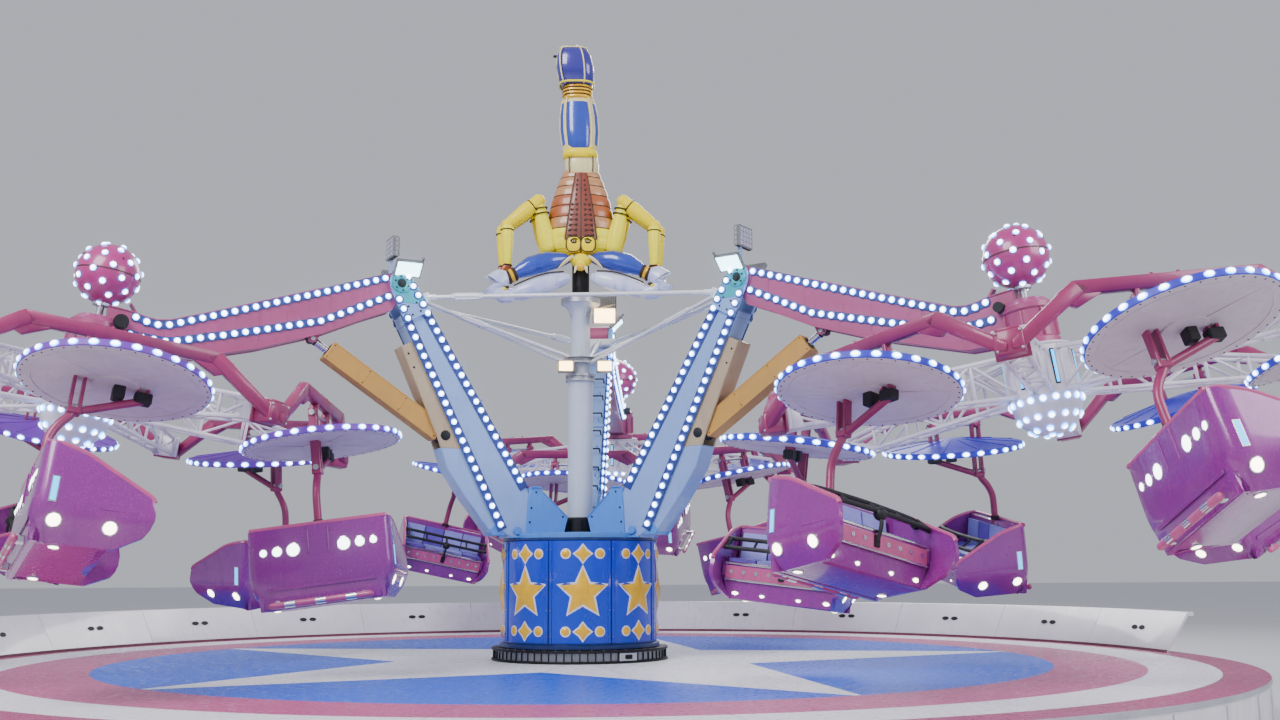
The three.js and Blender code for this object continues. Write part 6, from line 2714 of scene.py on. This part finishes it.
@dataclass
class Scorpion:
    """The scorpion figure: head down on the column, tail raised over it."""

    paints: Finishes
    base: float = 4.4503

    abdomen = (
        # The two pale yellow bands are a painted highlight where light falls on the belly.
        (4.98, 0.29, Finish.YELLOW_SHELL), (5.07, 0.4, Finish.PALE_YELLOW),
        (5.2, 0.432, Finish.PALE_YELLOW), (5.33, 0.432, Finish.TAN_SHELL),
        # These two orange bands are painted shade across the middle of the abdomen.
        (5.48, 0.415, Finish.ORANGE_SHELL), (5.63, 0.39, Finish.ORANGE_SHELL),
        (5.77, 0.352, Finish.TAN_SHELL), (5.9, 0.31, Finish.TAN_SHELL), (6.02, 0.265, Finish.TAN_SHELL),
        (6.12, 0.225, Finish.CREAM_SHELL),
    )
    pane = (
        (6.36, -0.012, 0.19, 0.17), (6.46, -0.015, 0.225, 0.2), (6.65, -0.022, 0.245, 0.21),
        (6.85, -0.03, 0.24, 0.205), (7.02, -0.038, 0.215, 0.19), (7.12, -0.042, 0.18, 0.165),
    )
    tip = (
        (7.26, -0.06, -0.05, 0.19, 0.17), (7.3, -0.064, -0.06, 0.225, 0.2),
        (7.48, -0.08, -0.08, 0.245, 0.215), (7.64, -0.095, -0.1, 0.225, 0.2),
        (7.74, -0.105, -0.11, 0.17, 0.15), (7.78, -0.11, -0.115, 0.09, 0.08),
    )

    def build(self) -> None:
        """Makes the body, the tail, the claws and the legs."""
        shape = Shape(Finish.TAN_SHELL)
        self.body(shape)
        self.plate(shape)
        self.face(shape)
        self.tail(shape)
        for side in BOTH:
            self.claw(shape, side)
            self.legs(shape, side)
        mesh = shape.mesh("scorpion", self.paints, sharp=50)
        put(mesh, "scorpion_shell", "rotor", move(0, 0, DECK_HEIGHT), ["scorpion_figure"])

    def body(self, shape: Shape) -> None:
        """Adds the stand and the abdomen in bands, each with a dark line below it; the pale yellow bands
        low down are a painted highlight and the orange bands in the middle are painted shade.

        Args:
            shape: Takes the shells.
        """
        b = self.base
        shape.lathe(
            [(0, b), (0.2, b), (0.2, b + 0.04), (0.11, b + 0.06), (0.11, 5.0), (0, 5.0)], 24,
            Finish.DARK_STEEL,
        )
        for (z, r, paint), (top, next_r, _) in zip(self.abdomen, self.abdomen[1:]):
            high = top + 0.012
            rings = []
            for t in (0.0, 0.12, 0.35, 0.65, 0.88, 1.0):
                reach = r + (next_r - r) * t + 0.016 * math.sin(math.pi * t) - 0.006
                rings.append(ring_of(0, 0, z + (high - z) * t, reach, reach * 0.64 + 0.002, 36, 2.3))
            shape.loft(rings, paint)
        for z, r, _ in self.abdomen[3:-1]:
            edge = [(x.x, x.y, z + 0.004) for x in ring_of(0, 0, z, r - 0.001, r * 0.64 + 0.002, 36, 2.3)]
            shape.pipe([*edge, edge[0]], 0.006, Finish.INK_LINE, 6)

    def plate(self, shape: Shape) -> None:
        """Adds the ribbed plate down the middle of the belly, with its rows of dark teeth.

        Args:
            shape: Takes the shells.
        """
        count = 14
        rings = []
        for i in range(count + 1):
            z = 5.17 + 0.9 * i / count
            wide = 0.2 - 0.128 * (i / count) ** 1.1
            y = -self.depth_at(z) + 0.012
            rings.append(ring_of(0, y, z, wide, 0.034, 20, 3.2))
        shape.loft(rings, Finish.RED_BROWN)
        for s in (-1, 0, 1):
            deep = 0.004 if s else 0.03
            path = [(s * abs(r[0].x), r[0].y - deep, r[0].z) for r in rings]
            shape.pipe(path, 0.009, Finish.INK_LINE, 6)
        for i in range(12):
            z = 5.215 + 0.068 * i
            wide = 0.2 - 0.128 * ((z - 5.17) / 0.9) ** 1.1
            y = -self.depth_at(z) - 0.016
            for s in BOTH:
                if i > 6:
                    shape.ball((0.013, 0.01, 0.017), (s * wide * 0.5, y - 0.006, z), Finish.INK_LINE, 10, 8)
                    continue
                for share, way in ((0.26, 1), (0.86, -1)):
                    tooth = [(0, -0.02), (way * (0.062 - 0.004 * i), 0.004), (0, 0.022)]
                    corners = [(s * (wide * share + a), z + b) for a, b in tooth]
                    shape.slab(corners, y - 0.012, y + 0.012, paint=Finish.INK_LINE, bevel=0.003)

    def face(self, shape: Shape) -> None:
        """Adds the two yellow face plates with their eyes, the mouth and the jaws.

        Args:
            shape: Takes the shells.
        """
        for s in BOTH:
            rows = []
            for i in range(6):
                t = i / 5
                reach = 0.098 - 0.018 * abs(2 * t - 1)
                rows.append(
                    ring_of(s * 0.092, -0.27 - 0.02 * math.sin(t * 3), 5.0 + 0.2 * t, reach, 0.045, 16, 3.0)
                )
            shape.loft(rows, Finish.YELLOW_SHELL)
            edge = [(s * (0.092 + 0.094 * x), -0.32, 5.1 + 0.098 * z) for x, z in self.oval(16)]
            shape.pipe([*edge, edge[0]], 0.008, Finish.INK_LINE, 6)
            brow = [(s * 0.04, -0.337, 5.157), (s * 0.085, -0.343, 5.168), (s * 0.135, -0.335, 5.14)]
            shape.pipe(brow, 0.007, Finish.INK_LINE, 6)
            shape.ball((0.038, 0.018, 0.026), (s * 0.088, -0.332, 5.128), Finish.INK_LINE, 14, 8)
            shape.ball((0.021, 0.014, 0.014), (s * 0.09, -0.343, 5.13), Finish.CREAM_SHELL, 12, 8)
            shape.ball((0.008, 0.008, 0.012), (s * 0.09, -0.354, 5.13), Finish.INK_LINE, 8, 6)
        shape.ball((0.14, 0.12, 0.09), (0, -0.26, 4.9), Finish.YELLOW_SHELL, 24, 14)
        shape.ball((0.07, 0.075, 0.085), (0, -0.35, 4.83), Finish.YELLOW_SHELL, 20, 12)
        shape.ball((0.04, 0.05, 0.05), (0, -0.385, 4.79), Finish.GOLD_LEAF)
        for s in BOTH:
            jaw = []
            for i in range(6):
                t = i / 5
                x, z = s * (0.07 + 0.2 * t), 4.95 - 0.1 * t - 0.06 * t * t
                jaw.append(
                    ring_of(x, -0.31 - 0.02 * math.sin(3 * t), z, 0.06 - 0.045 * t, 0.055 - 0.035 * t, 14)
                )
            shape.loft(jaw, Finish.CREAM_SHELL)
            line = [
                (s * (0.07 + 0.2 * t), -0.366 + 0.03 * t, 4.95 - 0.1 * t - 0.06 * t * t)
                for t in (0, 0.25, 0.5, 0.75)
            ]
            shape.pipe(line, 0.006, Finish.INK_LINE, 6)
            tooth = []
            for i in range(4):
                tooth.append(
                    ring_of(
                        s * (0.05 + 0.01 * i), -0.37 - 0.008 * i, 4.8 - 0.03 * i, 0.03 - 0.008 * i,
                        0.03 - 0.008 * i, 12,
                    )
                )
            shape.loft(tooth, Finish.CREAM_SHELL)

    @staticmethod
    def oval(count: int) -> list[tuple[float, float]]:
        """Points of a rounded square of half side 1."""
        return [(p.x, p.y) for p in ring_of(0, 0, 0, 1, 1, count, 3.0)]

    def depth_at(self, z: float) -> float:
        """How far the abdomen's front stands out at a height.

        Args:
            z: The height.

        Returns:
            The distance from the middle.
        """
        rows = self.abdomen
        for (az, ar, _), (bz, br, _) in zip(rows, rows[1:]):
            if z <= bz:
                return 0.64 * (ar + (br - ar) * (z - az) / (bz - az)) + 0.008
        return 0.64 * rows[-1][1]

    def tail(self, shape: Shape) -> None:
        """Adds the tail: cream, yellow, blue, gold and the violet tip, each in its frame.

        Args:
            shape: Takes the shells.
        """

        def segment(rows: Sequence[tuple[float, ...]], paint: Finish, square: float = 2.6) -> None:
            """Adds one segment from rows of z, x, y, half width and half depth."""
            shape.loft([ring_of(x, y, z, rx, ry, 28, square) for z, x, y, rx, ry in rows], paint)

        segment(
            [
                (6.06, 0.01, 0, 0.18, 0.15), (6.1, 0.012, 0, 0.212, 0.17), (6.22, 0.01, 0, 0.222, 0.18),
                (6.32, 0.0, 0, 0.21, 0.18), (6.35, 0.0, 0, 0.18, 0.16),
            ],
            Finish.CREAM_SHELL,
        )
        for s in BOTH:
            shape.pipe(
                [(s * 0.15, -0.155, 6.09), (s * 0.155, -0.166, 6.2), (s * 0.15, -0.168, 6.31)], 0.007,
                Finish.INK_LINE, 6,
            )
        segment(
            [
                (6.28, -0.01, -0.02, 0.19, 0.19), (6.31, -0.01, -0.02, 0.225, 0.21),
                (6.35, -0.012, -0.02, 0.23, 0.215), (6.39, -0.012, -0.02, 0.21, 0.2),
            ],
            Finish.YELLOW_SHELL,
        )
        self.window(shape)
        for i in range(4):
            z = 7.1 + 0.045 * i
            r = 0.185 + 0.012 * math.sin(math.pi * i / 3)
            rows = ((-0.018, -0.02, 0.17), (-0.008, 0, 0.19), (0.012, 0, 0.19), (0.024, -0.02, 0.17))
            segment([(z + up, -0.05, -0.02, r + less, deep) for up, less, deep in rows], Finish.GOLD_LEAF)
            edge = ring_of(-0.051, -0.02, z + 0.024, r - 0.004, 0.184, 28, 2.6)
            shape.pipe([*edge, edge[0]], 0.006, Finish.INK_LINE, 6)
        self.sting(shape)

    def window(self, shape: Shape) -> None:
        """Adds the tail's blue window: a front pane and two side panes in cream frames.

        Args:
            shape: Takes the shells.
        """
        shape.loft([ring_of(x, 0, z, rx, ry, 28, 2.4) for z, x, rx, ry in self.pane], Finish.CREAM_SHELL)
        rows = self.pane[:-1]
        front = [ring_of(x - 0.01, -ry * 0.55, z, rx * 0.66, ry * 0.53, 24, 3.0) for z, x, rx, ry in rows]
        shape.loft(front, Finish.BLUE_SHELL)
        for s in BOTH:
            side = [
                ring_of(x + s * rx * 0.56, -ry * 0.1, z, rx * 0.47, ry * 0.62, 20, 2.4)
                for z, x, rx, ry in self.pane[1:-1]
            ]
            shape.loft(side, Finish.BLUE_SHELL)
            path = [(x - 0.01 + s * rx * 0.68, -ry * 0.9, z) for z, x, rx, ry in self.pane]
            shape.pipe(smooth_path(path, 3), 0.0095, Finish.CREAM_SHELL)
            path = [(x + s * rx, -ry * 0.3, z) for z, x, rx, ry in self.pane]
            shape.pipe(smooth_path(path, 3), 0.0095, Finish.CREAM_SHELL)
        sag = []
        for k in range(9):
            t = -1 + k / 4
            sag.append((-0.014 + 0.165 * t, -0.19 + 0.03 * t * t, 6.36 + 0.075 * t * t))
        shape.pipe(sag, 0.016, Finish.YELLOW_SHELL)
        crest = [
            (-0.045 + 0.15 * t, -0.178 + 0.03 * t * t, 7.1 - 0.02 * t * t) for t in (-1, -0.5, 0, 0.5, 1)
        ]
        shape.pipe(crest, 0.011, Finish.PALE_YELLOW)

    def sting(self, shape: Shape) -> None:
        """Adds the violet tip with its cream edge lines and the small lamp bracket.

        Args:
            shape: Takes the shells.
        """
        shape.loft([ring_of(x, y, z, rx, ry, 28, 3.2) for z, x, y, rx, ry in self.tip], Finish.VIOLET_SHELL)
        for s in (-1, -0.82, 0.5, 1):
            deep = 0.35 if abs(s) == 1 else 0.96
            path = [(x + s * rx * 0.95, y - ry * deep, z) for z, x, y, rx, ry in self.tip[:-1]]
            shape.pipe(smooth_path(path, 3), 0.0095, Finish.CREAM_SHELL)
        z, x, y, rx, ry = self.tip[0]
        edge = ring_of(x, y - 0.01, z + 0.015, rx + 0.034, ry + 0.028, 28, 3.0)
        shape.pipe([*edge, edge[0]], 0.013, Finish.PALE_YELLOW)
        z, x, y, rx, ry = self.tip[-2]
        edge = ring_of(x, y, z - 0.01, rx + 0.01, ry + 0.008, 28, 3.2)
        shape.pipe([*edge, edge[0]], 0.011, Finish.CREAM_SHELL)
        shape.block((0.07, 0.03, 0.03), (-0.33, -0.1, 7.66), Finish.DARK_STEEL, 0.006)
        shape.tube((-0.3, -0.1, 7.66), (-0.2, -0.1, 7.64), 0.01, Finish.DARK_STEEL, 8)

    def claw(self, shape: Shape, side: int) -> None:
        """Adds one claw: blue upper arm, banded wrist, white end and the finger that curls back.

        Args:
            shape: Takes it.
            side: 1 for the right one, -1 for the left.
        """
        reach = 1.0 if side > 0 else 1.06
        drop = 0.0 if side > 0 else -0.06

        def limb(stations: Sequence[tuple[float, ...]], paint: Finish) -> None:
            """Adds a limb from stations of x, y, z, half height and half depth.

            Args:
                stations: The limb's stations, from the body outwards.
                paint: Its finish.
            """
            rings = []
            for i, (x, y, z, rz, ry) in enumerate(stations):
                ahead = Vector(stations[min(i + 1, len(stations) - 1)][:3])
                way = ahead - Vector(stations[max(i - 1, 0)][:3])
                way.x *= side
                spin = way.to_track_quat("Z", "Y").to_matrix()
                ring = ring_of(0, 0, 0, ry, rz, 20, 2.2)
                rings.append([spin @ p + Vector((side * x * reach, y, z + drop * x)) for p in ring])
            shape.loft(rings, paint)

        limb(
            [
                (0.12, -0.2, 4.93, 0.03, 0.04), (0.2, -0.24, 4.93, 0.085, 0.09),
                (0.4, -0.28, 4.9, 0.13, 0.13), (0.6, -0.32, 4.84, 0.125, 0.13),
                (0.72, -0.34, 4.78, 0.09, 0.1), (0.77, -0.35, 4.75, 0.07, 0.08),
            ],
            Finish.BLUE_SHELL,
        )
        for k in range(3):
            x = 0.775 + 0.035 * k
            z = 4.745 - 0.018 * k
            rows = (
                (-0.018, 0.002, 0.008, 0.08, 0.085), (0, 0, 0, 0.092, 0.098),
                (0.018, -0.002, -0.008, 0.08, 0.085),
            )
            limb(
                [(x + a, -0.352 + b, z + c, d, e) for a, b, c, d, e in rows],
                Finish.INK_LINE if k % 2 == 0 else Finish.GOLD_LEAF,
            )
        limb(
            [
                (0.86, -0.35, 4.71, 0.085, 0.09), (0.92, -0.36, 4.69, 0.135, 0.125),
                (1.0, -0.37, 4.64, 0.152, 0.135), (1.01, -0.38, 4.56, 0.15, 0.13),
                (0.97, -0.38, 4.5, 0.11, 0.1),
            ],
            Finish.ICE_SHELL,
        )
        limb(
            [
                (0.985, -0.372, 4.6, 0.1, 0.112), (0.96, -0.38, 4.52, 0.108, 0.112),
                (0.9, -0.38, 4.48, 0.102, 0.102), (0.8, -0.372, 4.47, 0.085, 0.085),
                (0.75, -0.37, 4.472, 0.045, 0.055),
            ],
            Finish.ICE_SHELL,
        )
        limb(
            [
                (0.82, -0.36, 4.49, 0.05, 0.06), (0.72, -0.38, 4.5, 0.1, 0.1),
                (0.52, -0.38, 4.56, 0.115, 0.11), (0.34, -0.36, 4.62, 0.11, 0.1),
                (0.22, -0.33, 4.66, 0.09, 0.085), (0.14, -0.3, 4.68, 0.05, 0.05),
            ],
            Finish.ICE_SHELL,
        )
        seam = []
        for x, z in ((0.2, 4.74), (0.36, 4.725), (0.52, 4.69), (0.68, 4.63), (0.78, 4.585)):
            seam.append((side * x * reach, -0.43 if x > 0.3 else -0.39, z + drop * x))
        shape.pipe(smooth_path(seam, 3), 0.009, Finish.INK_LINE, 6)
        for k in range(2):
            x, z = 0.86 + 0.03 * k, 4.56 - 0.02 * k
            spot = (side * x * reach, -0.475, z + drop * x)
            shape.ball((0.034, 0.01, 0.02), spot, Finish.YELLOW_SHELL if k else Finish.INK_LINE, 12, 8)

    def legs(self, shape: Shape, side: int) -> None:
        """Adds two jointed legs on one side.

        Args:
            shape: Takes them.
            side: 1 for the right side, -1 for the left.
        """

        def part(a: Vector, b: Vector, near: float, middle: float, far: float, paint: Finish) -> None:
            """Adds one tapered stretch of a leg.

            Args:
                a: The near joint.
                b: The far joint.
                near: The radius by the near joint.
                middle: The radius in the middle.
                far: The radius by the far joint.
                paint: Its finish.
            """
            spin = (b - a).to_track_quat("Z", "Y").to_matrix()
            rings = []
            for t, r in (
                (0, near * 0.6), (0.05, near * 0.92), (0.12, near), (0.4, middle), (0.88, far),
                (1, far * 0.7),
            ):
                rings.append([spin @ p + a.lerp(b, t) for p in ring_of(0, 0, 0, r, r, 18, 2.2)])
            shape.loft(rings, paint)

        def collar(at: Vector, way: Vector, radius: float) -> None:
            """Adds a dark line round a joint.

            Args:
                at: The joint.
                way: The way that the leg runs there.
                radius: The line's radius.
            """
            spin = way.to_track_quat("Z", "Y").to_matrix()
            ring = [spin @ p + at for p in ring_of(0, 0, 0, radius, radius, 18)]
            shape.pipe([*ring, ring[0]], 0.009, Finish.INK_LINE, 6)

        for row, (y, spread, low) in enumerate(((-0.14, 0.0, 4.82), (0.12, 0.07, 4.86))):
            hip = Vector((side * 0.4, y, 5.02))
            knee = Vector((side * (0.54 + spread), y - 0.04, 5.68))
            shin = Vector((side * (0.93 + spread), y - 0.08, 5.36))
            foot = Vector((side * (0.92 + spread), y - 0.1, low))
            part(hip, knee, 0.095, 0.105, 0.075, Finish.PALE_YELLOW if row == 0 else Finish.YELLOW_SHELL)
            part(knee + Vector((-side * 0.03, 0, 0.03)), shin, 0.085, 0.1, 0.08, Finish.YELLOW_SHELL)
            part(
                shin + Vector((0, 0, 0.04)), foot, 0.078, 0.074, 0.055,
                Finish.PALE_YELLOW if row == 0 else Finish.YELLOW_SHELL,
            )
            shape.ball((0.088, 0.088, 0.088), knee + Vector((0, 0, 0.01)), Finish.YELLOW_SHELL, 18, 12)
            shape.ball((0.08, 0.08, 0.08), shin, Finish.YELLOW_SHELL, 18, 12)
            collar(knee.lerp(hip, 0.14), hip - knee, 0.094)
            collar(knee.lerp(hip, 0.24), hip - knee, 0.1)
            collar(knee.lerp(shin, 0.2), shin - knee, 0.096)
            collar(shin.lerp(foot, 0.12), foot - shin, 0.08)
            collar(foot.lerp(shin, 0.03), foot - shin, 0.055)
            for k in range(3):
                toe = foot + Vector((side * (0.07 - 0.055 * k), -0.03 + 0.03 * k, -0.07 - 0.012 * (k % 2)))
                part(foot + Vector((0, 0, 0.03)), toe, 0.045, 0.036, 0.02, Finish.ORANGE_SHELL)


@dataclass
class Studio:
    """The floor, the light and the camera at the photograph's angle."""

    distance: float = 16.236
    eye_height: float = 1.506
    yaw: float = 2.646
    pitch: float = 9.166
    roll: float = 0.279
    lens: float = 36.64

    def build(self) -> None:
        """Makes the floor, the lights and the camera."""
        scene = bpy.context.scene
        mesh = bpy.data.meshes.new("floor")
        reach = 120.0
        mesh.from_pydata(
            [(-reach, -reach, 0), (reach, -reach, 0), (reach, reach, 0), (-reach, reach, 0)], [],
            [(0, 1, 2, 3)],
        )
        floor = bpy.data.objects.new("floor", mesh)
        mesh.materials.append(
            Paint("studio floor", "d6d6da", "c9c9ce", 0.7, patches=0.4, wear=0.4, relief=0.02).build()
        )
        scene.collection.objects.link(floor)
        world = bpy.data.worlds.new("studio")
        scene.world = world
        world.use_nodes = True
        sky = world.node_tree.nodes["Background"]
        sky.inputs[0].default_value = linear("d4d7e2")
        sky.inputs[1].default_value = 0.78
        self.light("key", (-9, -14, 15), 9.0, 3600)
        self.light("fill", (13, -10, 9), 8.0, 1300)
        self.light("back", (4, 15, 13), 8.0, 1800)
        self.camera()
        self.halo()

    @staticmethod
    def halo() -> None:
        """Lets the lit lamps spill a little light round them."""
        scene = bpy.context.scene
        scene.use_nodes = True
        tree = scene.node_tree
        tree.nodes.clear()
        n = Nodes(tree)
        layers = n.add("CompositorNodeRLayers")
        keys = {"Image": layers.outputs["Image"], "Threshold": 2.5, "Strength": 0.3, "Size": 0.2}
        glare = n.add("CompositorNodeGlare", keys, glare_type="FOG_GLOW")
        n.add("CompositorNodeComposite", {"Image": glare.outputs["Image"]})

    @staticmethod
    def light(name: str, at: Point, size: float, power: float) -> None:
        """A soft square lamp that faces the ride.

        Args:
            name: Its name.
            at: Its place.
            size: Its side.
            power: Its power in watts.
        """
        data = bpy.data.lights.new(name, "AREA")
        data.size = size
        data.energy = power
        lamp = bpy.data.objects.new(name, data)
        lamp.location = at
        lamp.rotation_euler = (Vector((0, 0, 3)) - Vector(at)).to_track_quat("-Z", "Y").to_euler()
        bpy.context.scene.collection.objects.link(lamp)

    def camera(self) -> None:
        """The camera where the photograph was taken."""
        yaw, pitch, roll = (math.radians(x) for x in (self.yaw, self.pitch, self.roll))
        ahead = Vector((math.sin(yaw) * math.cos(pitch), math.cos(yaw) * math.cos(pitch), math.sin(pitch)))
        level = Vector((math.cos(yaw), -math.sin(yaw), 0))
        up = level.cross(ahead)
        right = level * math.cos(roll) - up * math.sin(roll)
        up = up * math.cos(roll) + level * math.sin(roll)
        data = bpy.data.cameras.new("camera")
        data.lens = self.lens
        data.sensor_width = 36
        data.clip_end = 400
        camera = bpy.data.objects.new("camera", data)
        pose = Matrix((right, up, -ahead)).transposed().to_4x4()
        pose.translation = (0, -self.distance, self.eye_height)
        camera.matrix_world = pose
        bpy.context.scene.collection.objects.link(camera)
        bpy.context.scene.camera = camera


def write_sizes() -> None:
    """Updates the view layer."""
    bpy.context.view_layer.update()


def main() -> None:
    """Builds the studio and every part of the ride."""
    logging.basicConfig(level=logging.INFO, format="%(name)s: %(message)s")
    paints, repeat = Finishes(), Repeater()
    parts = (
        Studio(), Deck(paints, repeat), Rim(paints, repeat), Drum(paints, repeat), Masts(paints, repeat),
        Column(paints, repeat), Scorpion(paints), Boom(paints, repeat), Spider(paints, repeat),
        Gondola(paints, repeat),
    )
    for part in parts:
        part.build()
        log.info("%s is done", type(part).__name__)
    write_sizes()


if __name__ == "__main__":
    main()
